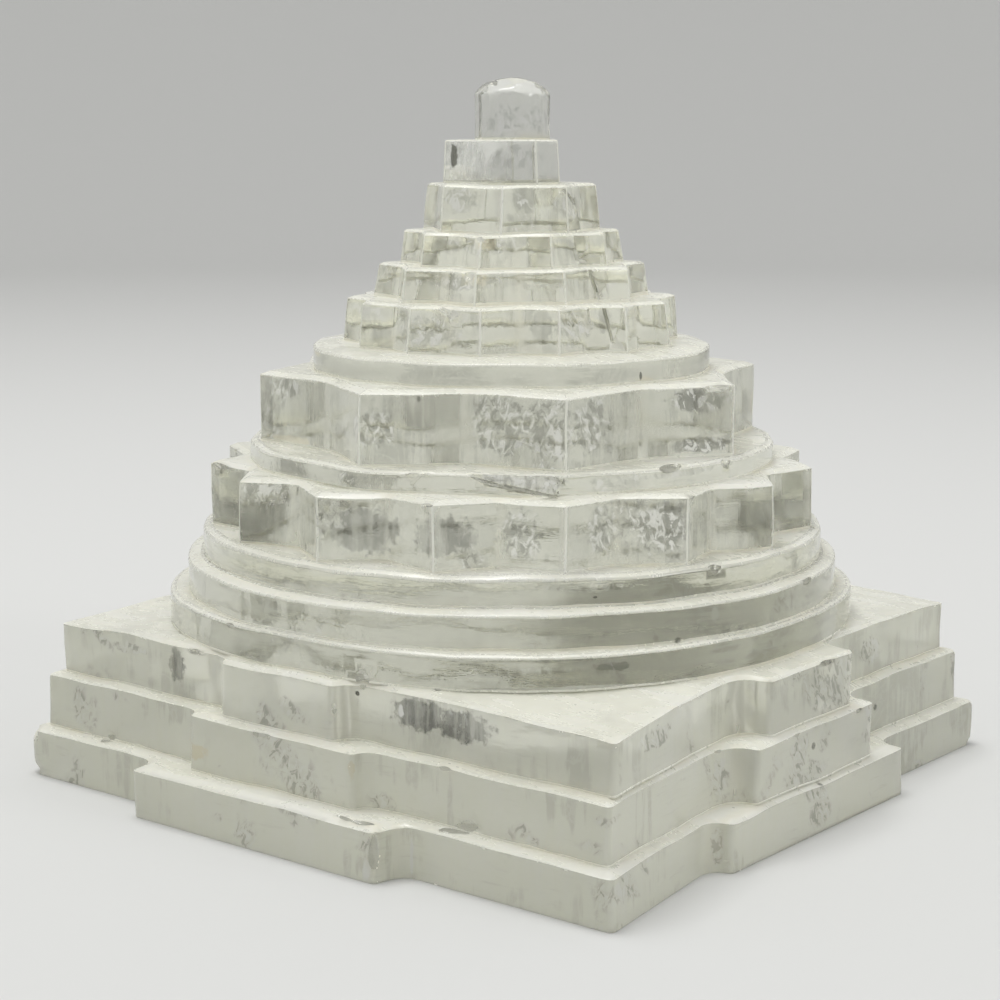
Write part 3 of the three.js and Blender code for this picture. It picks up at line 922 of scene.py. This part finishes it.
PETAL_FLAWS = (
    *flaws_of("painted_shade_window", (29.0, -12.4, 31.6, 2.6, 2.3), (5.3, -29.8, 30.8, 3.8, 2.3),
              (14.3, -28.6, 31.0, 3.2, 2.0), (25.3, -1.1, 37.8, 3.4, 0.9), (24.7, -2.1, 42.5, 1.8, 1.2)),
    *flaws_of("crack", (14.0, -19.5, 40.9, 3.2, 3.2), (19.0, -18.2, 40.3, 2.6, 3.7),
              (21.2, -14.4, 40.9, 2.4, 3.0), (25.3, -1.1, 42.4, 3.6, 1.3), (25.6, -0.6, 37.8, 3.0, 0.8),
              (19.4, -23.1, 31.0, 2.3, 2.6), (24.8, -17.4, 31.3, 1.8, 2.4), (28.6, -12.7, 31.1, 2.8, 2.6),
              (-8.2, -30.0, 33.2, 2.8, 2.0), (3.3, -26.4, 40.2, 2.6, 1.8), (-13.5, -21.3, 42.6, 2.4, 1.2)),
    *flaws_of("glint", (20.0, -17.9, 39.7, 0.3, 1.6)),
    *flaws_of("stain", (-12.9, -21.4, 37.2, 4.0, 0.4), (17.8, 20.5, 39.1, 0.5, 1.7)),
    *flaws_of("ink", (6.9, -23.4, 43.2, 0.25, 0.35)),
)
CROWN_FLAWS = (
    *flaws_of("painted_shade_window", (6.2, -5.6, 62.5, 1.4, 1.4), (12.7, -11.2, 50.0, 1.2, 1.9),
              (-4.6, -16.2, 48.4, 1.4, 1.3), (-0.4, -17.1, 50.7, 1.6, 0.8), (16.0, -4.9, 50.3, 0.7, 1.6),
              (10.0, -2.9, 57.1, 0.9, 1.1), (-0.5, -10.6, 57.4, 2.0, 0.8), (3.5, -12.9, 53.8, 2.4, 0.7)),
    *flaws_of("crack", (2.2, -17.0, 49.2, 4.2, 1.5), (0.0, -8.4, 62.1, 1.8, 1.4),
              (2.7, -12.8, 54.0, 5.4, 0.8), (14.6, -8.1, 49.9, 2.6, 1.8), (8.8, -1.4, 61.6, 1.9, 1.6),
              (4.4, -10.7, 57.6, 4.6, 0.8)),
    *flaws_of("stain", (4.9, -10.2, 57.9, 1.1, 0.8), (6.1, -12.9, 54.6, 0.9, 1.0)),
)
TOP_FLAWS = (
    *flaws_of("crack", (3.6, -4.5, 66.4, 3.2, 1.3), (1.0, -1.5, 70.2, 4.6, 1.9)),
    *flaws_of("glint", (2.3, -3.4, 69.3, 0.6, 0.2), (-2.4, -3.2, 70.4, 0.2, 1.7)),
    *flaws_of("ink", (-3.6, -5.4, 66.5, 0.45, 1.3)),
)


class Pen:
    """Draws the nodes of one material or node group."""

    def __init__(self, tree: bpy.types.NodeTree) -> None:
        """Keeps the tree to draw in.

        Args:
            tree: The node tree of a material or of a group.
        """
        self.tree = tree
        self.across = 0

    def add(self, kind: str, **settings: object) -> bpy.types.Node:
        """Adds a node and sets its attributes.

        Args:
            kind: Blender's name for the node type.
            **settings: Attributes to set.

        Returns:
            The new node.
        """
        node = self.tree.nodes.new(kind)
        node.location = (self.across, 0)
        self.across += 180
        for name, value in settings.items():
            setattr(node, name, value)
        return node

    def feed(self, socket: bpy.types.NodeSocket, value: object) -> None:
        """Links a socket or sets a plain value.

        Args:
            socket: The input to fill.
            value: An output socket, a number or a row of numbers.
        """
        if isinstance(value, bpy.types.NodeSocket):
            self.tree.links.new(value, socket)
        else:
            socket.default_value = value

    def maths(self, operation: str, *values: object, clamp: bool = False) -> bpy.types.NodeSocket:
        """Adds a Math node.

        Args:
            operation: Name of the operation.
            *values: Its inputs, in order.
            clamp: Whether the result stays between 0 and 1.

        Returns:
            The result.
        """
        node = self.add("ShaderNodeMath", operation=operation, use_clamp=clamp)
        for socket, value in zip(node.inputs, values):
            self.feed(socket, value)
        return node.outputs[0]

    def stretch(self, vector: object, factors: object) -> bpy.types.NodeSocket:
        """Multiplies a vector part by part.

        Args:
            vector: The vector's socket.
            factors: One factor for each axis, or a socket.

        Returns:
            The stretched vector.
        """
        node = self.add("ShaderNodeVectorMath", operation="MULTIPLY")
        self.feed(node.inputs[0], vector)
        self.feed(node.inputs[1], factors)
        return node.outputs[0]

    def noise(self, vector: object, scale: object, detail: float = 3.0, rough: float = 0.55,
              twist: float = 0.0) -> bpy.types.NodeSocket:
        """Adds a Noise texture.

        Args:
            vector: Where it is read.
            scale: Waves per metre.
            detail: Octaves.
            rough: Share of the finer octaves.
            twist: Distortion.

        Returns:
            The value, from 0 to 1.
        """
        node = self.add("ShaderNodeTexNoise")
        for name, value in (("Vector", vector), ("Scale", scale), ("Detail", detail), ("Roughness", rough),
                            ("Distortion", twist)):
            self.feed(node.inputs[name], value)
        return node.outputs["Fac"]

    def between(self, value: object, low: object, high: object, start: float = 0.0,
                end: float = 1.0) -> bpy.types.NodeSocket:
        """Maps a range smoothly to another.

        Args:
            value: The value to map.
            low: Where the result is start.
            high: Where the result is end.
            start: First result.
            end: Last result.

        Returns:
            The mapped value.
        """
        node = self.add("ShaderNodeMapRange", interpolation_type="SMOOTHSTEP")
        for name, item in (("Value", value), ("From Min", low), ("From Max", high), ("To Min", start),
                           ("To Max", end)):
            self.feed(node.inputs[name], item)
        return node.outputs["Result"]

    def blend(self, share: object, first: object, second: object, how: str = "MIX") -> bpy.types.NodeSocket:
        """Mixes two colours.

        Args:
            share: How much of the second shows.
            first: The colour below.
            second: The colour above.
            how: The blend type.

        Returns:
            The mixed colour.
        """
        node = self.add("ShaderNodeMix", data_type="RGBA", blend_type=how)
        self.feed(node.inputs[0], share)
        for socket, value in ((node.inputs[6], first), (node.inputs[7], second)):
            self.feed(socket, (*value, 1.0) if isinstance(value, tuple) and len(value) == 3 else value)
        return node.outputs[2]

    def group(self, name: str, **values: object) -> bpy.types.Node:
        """Places a shared node group.

        Args:
            name: The group's name.
            **values: Its inputs, with _ for each space.

        Returns:
            The group's node.
        """
        node = self.add("ShaderNodeGroup", node_tree=bpy.data.node_groups[name])
        for key, value in values.items():
            self.feed(node.inputs[key.replace("_", " ")], value)
        return node


@dataclass(frozen=True)
class SharedEffects:
    """The effects that several finishes share, each a node group."""

    def build(self) -> None:
        """Makes every group once."""
        self.grinding_marks()
        self.inner_veils()
        self.healed_cracks()
        self.crease_residue()
        self.rim_wear_and_highlight()

    def start(self, name: str, inputs: dict[str, object],
              outputs: list[str]) -> tuple[Pen, dict, bpy.types.Node]:
        """Opens a node group with named sockets.

        Args:
            name: The group's name.
            inputs: Input names with their start values; None is a vector.
            outputs: Names of its outputs, each a number.

        Returns:
            A pen for the group, its inputs by name, and the node that takes its outputs.
        """
        tree = bpy.data.node_groups.new(name, "ShaderNodeTree")
        for key, value in inputs.items():
            kind = "NodeSocketVector" if value is None else "NodeSocketFloat"
            socket = tree.interface.new_socket(key, in_out="INPUT", socket_type=kind)
            if value is not None:
                socket.default_value = value
        for key in outputs:
            tree.interface.new_socket(key, in_out="OUTPUT", socket_type="NodeSocketFloat")
        pen = Pen(tree)
        source = pen.add("NodeGroupInput")
        return pen, {key: source.outputs[key] for key in inputs}, pen.add("NodeGroupOutput")

    def grinding_marks(self) -> None:
        """Strokes of the grinding wheel along the grain, with a fine tooth."""
        pen, given, out = self.start("grinding_marks", {"Vector": None, "Grain": None, "Scale": 900.0},
                                     ["Height", "Strokes", "Scratches"])
        strokes = pen.noise(pen.stretch(given["Vector"], given["Grain"]), given["Scale"], 4.0, 0.6)
        flat = pen.stretch(given["Vector"], (0.12, 0.12, 1.0))
        lines = pen.noise(flat, pen.maths("MULTIPLY", given["Scale"], 2.2), 3.0, 0.6, 0.3)
        where = pen.between(pen.noise(given["Vector"], 75.0, 2.0), 0.5, 0.62)
        tooth = pen.noise(given["Vector"], pen.maths("MULTIPLY", given["Scale"], 3.0), 2.0, 0.5)
        height = pen.maths("MULTIPLY_ADD", tooth, 0.3, strokes)
        height = pen.maths("MULTIPLY_ADD", pen.maths("MULTIPLY", lines, where), 0.8, height)
        pen.feed(out.inputs["Height"], height)
        pen.feed(out.inputs["Strokes"], pen.between(strokes, 0.36, 0.66))
        pen.feed(out.inputs["Scratches"], pen.maths("MULTIPLY", pen.between(lines, 0.56, 0.68), where))

    def inner_veils(self) -> None:
        """Clouds inside the crystal, and clear windows that are painted darker as shade."""
        pen, given, out = self.start("inner_veils", {"Vector": None, "Scale": 70.0, "Streak": 0.5},
                                     ["Cloud", "Window", "Wisp"])
        wide = pen.noise(given["Vector"], given["Scale"], 3.0, 0.55, 0.6)
        wide = pen.maths("MULTIPLY_ADD", pen.maths("SUBTRACT", given["Streak"], 0.5), 0.16, wide)
        fine = pen.noise(given["Vector"], pen.maths("MULTIPLY", given["Scale"], 3.2), 4.0, 0.65, 1.2)
        ridge = pen.maths("ABSOLUTE", pen.maths("MULTIPLY_ADD", fine, 2.0, -1.0))
        pen.feed(out.inputs["Cloud"], pen.between(wide, 0.46, 0.7))
        pen.feed(out.inputs["Window"], pen.between(wide, 0.43, 0.33))
        pen.feed(out.inputs["Wisp"], pen.between(ridge, 0.1, 0.0))

    def healed_cracks(self) -> None:
        """Bright flecks of healed cracks, partly painted glints, with dark gaps between as painted shade,
        gathered in patches, and dark specks.
        """
        start_values = {"Vector": None, "Scale": 1300.0, "Spread": 0.6, "Placed": 0.0}
        pen, given, out = self.start("healed_cracks", start_values, ["Fleck", "ShadeGap", "Patch", "Speck"])
        lean = pen.add("ShaderNodeMapping", vector_type="TEXTURE")
        pen.feed(lean.inputs["Vector"], given["Vector"])
        lean.inputs["Rotation"].default_value = (0.5, 0.45, 0.0)
        lean.inputs["Scale"].default_value = (1.0, 1.0, 2.8)
        grain = pen.noise(lean.outputs["Vector"], given["Scale"], 3.0, 0.6, 0.8)
        patch = pen.noise(given["Vector"], 88.0, 3.0, 0.55, 0.7)
        strewn = pen.between(patch, given["Spread"], pen.maths("ADD", given["Spread"], 0.07))
        gate = pen.maths("MAXIMUM", strewn, given["Placed"])
        loose = pen.maths("MULTIPLY_ADD", gate, 0.9, 0.1)
        raised = pen.maths("MULTIPLY_ADD", given["Placed"], 0.04, grain)
        fleck_glint = pen.maths("MULTIPLY", pen.between(raised, 0.56, 0.62), loose)
        shade_gap = pen.maths("MULTIPLY", pen.between(grain, 0.5, 0.4), gate)
        dots = pen.add("ShaderNodeTexVoronoi", feature="F1")
        pen.feed(dots.inputs["Vector"], given["Vector"])
        dots.inputs["Scale"].default_value = 330.0
        rare = pen.between(pen.noise(given["Vector"], 210.0, 1.0), 0.63, 0.68)
        speck = pen.maths("MULTIPLY", pen.between(dots.outputs["Distance"], 0.16, 0.07), rare)
        pen.feed(out.inputs["Fleck"], fleck_glint)
        pen.feed(out.inputs["ShadeGap"], shade_gap)
        pen.feed(out.inputs["Patch"], gate)
        pen.feed(out.inputs["Speck"], speck)

    def crease_residue(self) -> None:
        """Cream-yellow polishing paste left where a wall meets a ledge."""
        pen, given, out = self.start("crease_residue", {"Vector": None, "Amount": 0.7}, ["Mask"])
        near = pen.add("ShaderNodeAttribute", attribute_name="crease").outputs["Fac"]
        patchy = pen.between(pen.noise(given["Vector"], 130.0, 4.0, 0.65), 0.38, 0.66)
        edge = pen.maths("MULTIPLY", pen.between(near, 0.25, 1.0), patchy)
        pen.feed(out.inputs["Mask"], pen.maths("MULTIPLY", edge, given["Amount"], clamp=True))

    def rim_wear_and_highlight(self) -> None:
        """Frosted edges where handling has bruised the rims, lightened as well by a painted highlight."""
        pen, given, out = self.start("rim_wear_and_highlight", {"Vector": None, "Amount": 0.8}, ["Mask"])
        near = pen.add("ShaderNodeAttribute", attribute_name="rim").outputs["Fac"]
        broken = pen.between(pen.noise(given["Vector"], 520.0, 3.0, 0.6), 0.3, 0.62)
        edge = pen.maths("MULTIPLY", pen.between(near, 0.3, 0.95), broken)
        pen.feed(out.inputs["Mask"], pen.maths("MULTIPLY", edge, given["Amount"], clamp=True))


@dataclass(frozen=True)
class CrystalFinish:
    """One skin of the rock crystal.

    Attributes:
        name: The material's name.
        clear: Colour where the stone is clear.
        milky: Colour where it is clouded.
        depth: How dark the painted shade of the clear windows and of the crack patches is, and how dark the
            scratches are, as a share of the clear colour.
        clearing: Transmission of the skin.
        sheen: Roughness where it is best polished.
        dull: Roughness where it is worst polished.
        marks: Depth of the grinding marks, in metres.
        grain: How the strokes run; the smallest part is the direction along them.
        stroke_scale: Strokes per metre.
        flecks: Strength of the healed cracks, with their painted glints and the painted shade of their gaps
            and patches.
        residue: Strength of the paste in the creases.
        rim: Strength of the frosted rims and of their painted highlight.
        flaws: The flaws that the photograph shows in it, with glints as painted highlights and dark windows
            as painted shade.
        shade: How dark the painted shade of its placed windows and of the gaps in its cracks is, as a share
            of the clear colour.
    """

    name: str
    clear: Colour
    milky: Colour
    depth: float
    clearing: float
    sheen: float
    dull: float
    marks: float
    grain: Triple = (1.0, 1.0, 0.1)
    stroke_scale: float = 900.0
    flecks: float = 0.9
    residue: float = 0.7
    rim: float = 0.8
    flaws: tuple[Flaw, ...] = ()
    shade: float = 0.4

    def placed(self, pen: Pen, place: bpy.types.NodeSocket, ragged: bpy.types.NodeSocket,
               kind: str) -> object:
        """Masks the flaws of one kind, each an ellipsoid with a ragged edge; the glints are painted
        highlights and the dark windows painted shade.

        Args:
            pen: The pen of the material.
            place: Object coordinates.
            ragged: How far the edge is moved.
            kind: The kind of flaw.

        Returns:
            The mask, or 0 where there is none.
        """
        nearest = None
        for flaw in (flaw for flaw in self.flaws if flaw.kind == kind):
            inside = pen.add("ShaderNodeMapping", vector_type="TEXTURE")
            pen.feed(inside.inputs["Vector"], place)
            inside.inputs["Location"].default_value = mm(*flaw.place)
            inside.inputs["Scale"].default_value = mm(flaw.wide, flaw.wide, flaw.tall)
            length = pen.add("ShaderNodeVectorMath", operation="LENGTH")
            pen.feed(length.inputs[0], inside.outputs["Vector"])
            reach = length.outputs["Value"]
            nearest = reach if nearest is None else pen.maths("MINIMUM", nearest, reach)
        return 0.0 if nearest is None else pen.between(pen.maths("ADD", nearest, ragged), 1.1, 0.75)

    def build(self) -> bpy.types.Material:
        """Makes the material.

        Returns:
            The finished material.
        """
        material = bpy.data.materials.new(self.name)
        material.use_nodes = True
        material.node_tree.nodes.clear()
        pen = Pen(material.node_tree)
        place = pen.add("ShaderNodeTexCoord").outputs["Object"]
        marks = pen.group("grinding_marks", Vector=place, Grain=self.grain, Scale=self.stroke_scale)
        veils = pen.group("inner_veils", Vector=place, Scale=80.0, Streak=marks.outputs["Strokes"])
        ragged = pen.maths("MULTIPLY_ADD", pen.noise(place, 1100.0, 3.0, 0.6), 1.5, -0.75)
        crack, glint, ink, stain, painted_shade_window = (self.placed(pen, place, ragged, kind)
                                            for kind in ("crack", "glint", "ink", "stain", "painted_shade_window"))
        cracks = pen.group("healed_cracks", Vector=place, Scale=1300.0, Spread=0.57, Placed=crack)
        paste = pen.group("crease_residue", Vector=place, Amount=self.residue)
        # The rim mask carries both the bruised rims and their painted highlight.
        worn = pen.group("rim_wear_and_highlight", Vector=place, Amount=self.rim)
        shade_and_scratch_colour = tuple(part * self.depth for part in self.clear)
        dark = tuple(part * self.shade for part in self.clear)
        body = pen.blend(veils.outputs["Cloud"], self.clear, self.milky)
        body = pen.blend(pen.maths("MULTIPLY", marks.outputs["Strokes"], STROKE_MILK), body, self.milky)
        # The veils' clear windows are painted darker as shade.
        body = pen.blend(pen.maths("MULTIPLY", veils.outputs["Window"], WINDOW_SHADE), body, shade_and_scratch_colour)
        # Patches of healed cracks are painted darker as shade.
        patch = pen.maths("MULTIPLY", cracks.outputs["Patch"], PATCH_SHADE * self.flecks)
        body = pen.blend(patch, body, shade_and_scratch_colour)
        body = pen.blend(pen.maths("MULTIPLY", marks.outputs["Scratches"], SCRATCH_DEPTH), body, shade_and_scratch_colour)
        body = pen.blend(pen.maths("MULTIPLY", veils.outputs["Wisp"], WISP_MILK), body, self.milky)
        fibres = pen.maths("MULTIPLY_ADD", marks.outputs["Strokes"], -0.5, 1.0)
        # The placed dark windows are painted shade, broken into fibres by the strokes.
        body = pen.blend(pen.maths("MULTIPLY", painted_shade_window, fibres), body, dark)
        # The gaps between the flecks are painted shade.
        body = pen.blend(pen.maths("MULTIPLY", cracks.outputs["ShadeGap"], GAP_SHADE * self.flecks), body, dark)
        fleck_glint = pen.maths("MULTIPLY", cracks.outputs["Fleck"], self.flecks)
        # The flecks, partly painted glints of the healed cracks, and the glints, which are painted
        # highlights, are lightened to near white
        fleck_glint = pen.maths("MAXIMUM", fleck_glint, glint)
        body = pen.blend(fleck_glint, body, FLECK_AND_GLINT_COLOUR)
        body = pen.blend(pen.maths("MULTIPLY", stain, STAIN_STRENGTH), body, STAIN_COLOUR)
        # Bruised rims: partly frosting, partly a painted highlight.
        body = pen.blend(worn.outputs["Mask"], body, BRUISE_AND_HIGHLIGHT_COLOUR)
        body = pen.blend(paste.outputs["Mask"], body, PASTE_COLOUR)
        inked = pen.maths("MAXIMUM", pen.maths("MULTIPLY", cracks.outputs["Speck"], SPECK_STRENGTH), ink)
        body = pen.blend(inked, body, INK_COLOUR)
        rough = pen.between(marks.outputs["Strokes"], 0.0, 1.0, self.sheen, self.dull)
        frosted = pen.maths("MAXIMUM", worn.outputs["Mask"], paste.outputs["Mask"])
        rough = pen.maths("MULTIPLY_ADD", frosted, FROST_ROUGHNESS, rough, clamp=True)
        bump = pen.add("ShaderNodeBump")
        bump.inputs["Strength"].default_value = 1.0
        bump.inputs["Distance"].default_value = self.marks
        height = pen.maths("MULTIPLY_ADD", fleck_glint, 0.3, marks.outputs["Height"])
        pen.feed(bump.inputs["Height"], height)
        shader = pen.add("ShaderNodeBsdfPrincipled")
        shader.inputs["IOR"].default_value = QUARTZ_IOR
        shader.inputs["Transmission Weight"].default_value = self.clearing
        pen.feed(shader.inputs["Base Color"], body)
        pen.feed(shader.inputs["Roughness"], rough)
        pen.feed(shader.inputs["Normal"], bump.outputs["Normal"])
        ending = pen.add("ShaderNodeOutputMaterial")
        pen.feed(ending.inputs["Surface"], shader.outputs[0])
        return material


@dataclass(frozen=True)
class HiddenFinish:
    """The faces between tiers, which the one stone doesn't have.

    Attributes:
        name: The material's name.
    """

    name: str = "inside_the_stone"

    def build(self) -> bpy.types.Material:
        """Makes a material that light passes as if nothing were there.

        Returns:
            The finished material.
        """
        material = bpy.data.materials.new(self.name)
        material.use_nodes = True
        shader = material.node_tree.nodes["Principled BSDF"]
        shader.inputs["Base Color"].default_value = (1.0, 1.0, 1.0, 1.0)
        shader.inputs["Alpha"].default_value = 0.0
        return material


# The walls of the one crystal get different tones by tier: the base walls are partly milky and partly
# finished whiter and less clear as painted light, and the band and petal walls take a darker clear colour as
# painted shade.
BASE_WALL = CrystalFinish(
    "crystal_base_wall", clear=(0.985, 0.99, 0.875), milky=(0.995, 0.997, 0.91), depth=0.78, clearing=0.6,
    sheen=0.05, dull=0.16, marks=0.02 * MM, flecks=0.7, residue=0.3, rim=0.3, flaws=BASE_FLAWS, shade=0.2)
BAND_WALL = CrystalFinish(
    "crystal_band_wall", clear=(0.84, 0.845, 0.735), milky=(0.95, 0.955, 0.85), depth=0.68, clearing=0.88,
    sheen=0.04, dull=0.13, marks=0.02 * MM, grain=(0.1, 0.1, 1.0), flecks=0.7, residue=0.3, rim=0.3,
    flaws=BAND_FLAWS)
PETAL_WALL = CrystalFinish(
    "crystal_petal_wall", clear=(0.76, 0.765, 0.66), milky=(0.9, 0.905, 0.805), depth=0.6, clearing=0.93,
    sheen=0.08, dull=0.2, marks=0.018 * MM, flecks=1.0, residue=0.3, rim=0.3, flaws=PETAL_FLAWS, shade=0.3)
CROWN_WALL = CrystalFinish(
    "crystal_crown_wall", clear=(0.945, 0.95, 0.83), milky=(0.985, 0.99, 0.88), depth=0.66, clearing=0.9,
    sheen=0.03, dull=0.1, marks=0.018 * MM, flecks=1.0, residue=0.4, rim=0.3, flaws=CROWN_FLAWS, shade=0.5)
TOP_WALL = CrystalFinish(
    "crystal_top_wall", clear=(0.975, 0.985, 0.935), milky=(0.995, 0.995, 0.965), depth=0.88, clearing=0.84,
    sheen=0.02, dull=0.08, marks=0.02 * MM, stroke_scale=800.0, flecks=1.0, residue=0.5, rim=0.3,
    flaws=TOP_FLAWS, shade=0.62)
LEDGE = CrystalFinish(
    "crystal_ledge", clear=(0.975, 0.975, 0.86), milky=(0.99, 0.99, 0.915), depth=0.93, clearing=0.24,
    sheen=0.2, dull=0.34, marks=0.002 * MM, grain=(0.4, 1.0, 1.0), stroke_scale=420.0, flecks=0.0,
    residue=0.5, rim=0.3)
# The rounded rims are finished whiter and less clear than the walls: partly frosting, partly a painted
# highlight.
RIM = CrystalFinish(
    "crystal_rim", clear=(0.98, 0.98, 0.88), milky=(0.99, 0.99, 0.93), depth=0.92, clearing=0.4,
    sheen=0.15, dull=0.35, marks=0.005 * MM, flecks=0.0, residue=0.0, rim=0.0)
CHIPPED = CrystalFinish(
    "crystal_chip", clear=(0.96, 0.96, 0.88), milky=(0.99, 0.99, 0.94), depth=0.75, clearing=0.8,
    sheen=0.06, dull=0.2, marks=0.05 * MM, flecks=1.0, residue=0.0, rim=0.0,
    flaws=flaws_of("crack", (18.2, -21.4, 35.7, 5.0, 1.4)))
UNDERSIDE = CrystalFinish(
    "crystal_underside", clear=(0.985, 0.985, 0.9), milky=(0.99, 0.99, 0.94), depth=0.9, clearing=0.12,
    sheen=0.35, dull=0.5, marks=0.02 * MM, stroke_scale=1200.0, flecks=0.0, residue=0.0, rim=0.3)


# The studio

@dataclass(frozen=True)
class Lamp:
    """One square soft lamp that points at the stone.

    Attributes:
        name: Its name.
        place: Where it hangs.
        size: Its side.
        power: Its power in watts.
    """

    name: str
    place: Triple
    size: float
    power: float


@dataclass
class Studio:
    """A round pale floor that rises into its backdrop, soft lamps and the camera of the photograph.

    Attributes:
        floor_radius: Radius of the flat floor.
        cove: Radius of the bend between floor and wall.
        cove_steps: How many steps the bend has.
        spin_steps: How many steps the floor's round has.
        wall_height: Height of the wall above the floor.
        drop: How far below the stone the floor lies.
        tone: Colour of floor and wall.
        sky: Strength of the light from all round.
        lamps: The soft lamps.
        aim: Height above the floor that the lamps point at.
        lens: Focal length for a sensor 36 mm wide.
        eye: Place of the camera.
        tilt: Turn of the camera about x and z, in degrees.
    """

    floor_radius: float = 0.8
    cove: float = 0.35
    cove_steps: int = 16
    spin_steps: int = 96
    wall_height: float = 0.42
    drop: float = 0.03 * MM
    tone: Colour = (0.71, 0.715, 0.705)
    sky: float = 0.59
    lamps: tuple[Lamp, ...] = (
        Lamp("top_softbox", (-0.1, -0.02, 0.72), 0.36, 2.65),
        Lamp("window_softbox", (0.62, 0.12, 0.3), 0.16, 0.5),
    )
    aim: float = 0.03
    lens: float = 80.905
    eye: Triple = (0.15136, -0.19031, 0.07133)
    tilt: tuple[float, float] = (80.172, 38.799)

    def build(self) -> None:
        """Sets up floor, lamps, world, camera and view."""
        self.make_floor()
        self.make_lamps()
        self.make_world()
        self.make_camera()
        scene = bpy.context.scene
        scene.view_settings.view_transform = "Standard"
        scene.cycles.max_bounces = 18
        scene.cycles.transmission_bounces = 16
        scene.cycles.transparent_max_bounces = 64

    def make_floor(self) -> None:
        """Spins the floor's outline round the axis."""
        outline = [(0.0, -self.drop), (self.floor_radius, -self.drop)]
        steps = self.cove_steps
        for step in range(1, steps + 1):
            angle = step / steps * math.pi / 2
            outline.append((self.floor_radius + self.cove * math.sin(angle),
                            self.cove * (1.0 - math.cos(angle)) - self.drop))
        outline.append((self.floor_radius + self.cove, self.wall_height))
        mesh = bpy.data.meshes.new("studio_floor")
        mesh.from_pydata([(x, 0.0, z) for x, z in outline], [(i, i + 1) for i in range(len(outline) - 1)], [])
        floor = bpy.data.objects.new("studio_floor", mesh)
        bpy.context.scene.collection.objects.link(floor)
        make_active(floor)
        bpy.ops.object.mode_set(mode="EDIT")
        bpy.ops.mesh.select_all(action="SELECT")
        bpy.ops.mesh.spin(steps=self.spin_steps, angle=2.0 * math.pi, center=(0.0, 0.0, 0.0),
                          axis=(0.0, 0.0, 1.0))
        bpy.ops.mesh.select_all(action="SELECT")
        bpy.ops.mesh.remove_doubles(threshold=0.001 * MM)
        bpy.ops.mesh.normals_make_consistent(inside=True)
        bpy.ops.object.mode_set(mode="OBJECT")
        bpy.ops.object.shade_smooth()
        material = bpy.data.materials.new("studio_paper")
        material.use_nodes = True
        shader = material.node_tree.nodes["Principled BSDF"]
        shader.inputs["Base Color"].default_value = (*self.tone, 1.0)
        shader.inputs["Roughness"].default_value = 0.9
        shader.inputs["Specular IOR Level"].default_value = 0.1
        floor.data.materials.append(material)
        floor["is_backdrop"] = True

    def make_lamps(self) -> None:
        """Hangs the soft lamps."""
        for plan in self.lamps:
            light = bpy.data.lights.new(plan.name, "AREA")
            light.shape = "SQUARE"
            light.size = plan.size
            light.energy = plan.power
            lamp = bpy.data.objects.new(plan.name, light)
            lamp.location = plan.place
            towards = Vector((0.0, 0.0, self.aim)) - Vector(plan.place)
            lamp.rotation_euler = towards.to_track_quat("-Z", "Y").to_euler()
            bpy.context.scene.collection.objects.link(lamp)

    def make_world(self) -> None:
        """Lights the studio evenly from all round."""
        world = bpy.data.worlds.new("studio_light")
        world.use_nodes = True
        background = world.node_tree.nodes["Background"]
        background.inputs["Color"].default_value = (1.0, 0.995, 0.98, 1.0)
        background.inputs["Strength"].default_value = self.sky
        bpy.context.scene.world = world

    def make_camera(self) -> None:
        """Places the camera where the photograph was taken from."""
        data = bpy.data.cameras.new("camera")
        data.lens = self.lens
        data.sensor_width = 36.0
        data.clip_start = 0.01
        data.clip_end = 10.0
        camera = bpy.data.objects.new("camera", data)
        camera.location = self.eye
        camera.rotation_euler = (math.radians(self.tilt[0]), 0.0, math.radians(self.tilt[1]))
        bpy.context.scene.collection.objects.link(camera)
        bpy.context.scene.camera = camera


def main() -> None:
    """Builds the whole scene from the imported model."""
    logging.basicConfig(level=logging.INFO, format="%(name)s: %(message)s")
    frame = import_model()
    deselect_all()
    Studio().build()
    SharedEffects().build()
    stone = Stone()
    skins = {Skin.BASE_WALL: BASE_WALL, Skin.PETAL_WALL: PETAL_WALL, Skin.CROWN_WALL: CROWN_WALL,
             Skin.TOP_WALL: TOP_WALL, Skin.LEDGE: LEDGE, Skin.RIM: RIM, Skin.CHIP: CHIPPED,
             Skin.UNDERSIDE: UNDERSIDE, Skin.HIDDEN: HiddenFinish(), Skin.BAND_WALL: BAND_WALL}
    materials = {skin: finish.build() for skin, finish in skins.items()}
    for tier, piece in zip(stone.tiers, stone.build(frame["nodes"])):
        for skin in Skin:
            piece.data.materials[skin.value] = materials[skin]
        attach(piece, "root")
        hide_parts(tier.node)
        tier.slot()
        LOG.info("%s: %d faces", piece.name, len(piece.data.polygons))


if __name__ == "__main__":
    main()
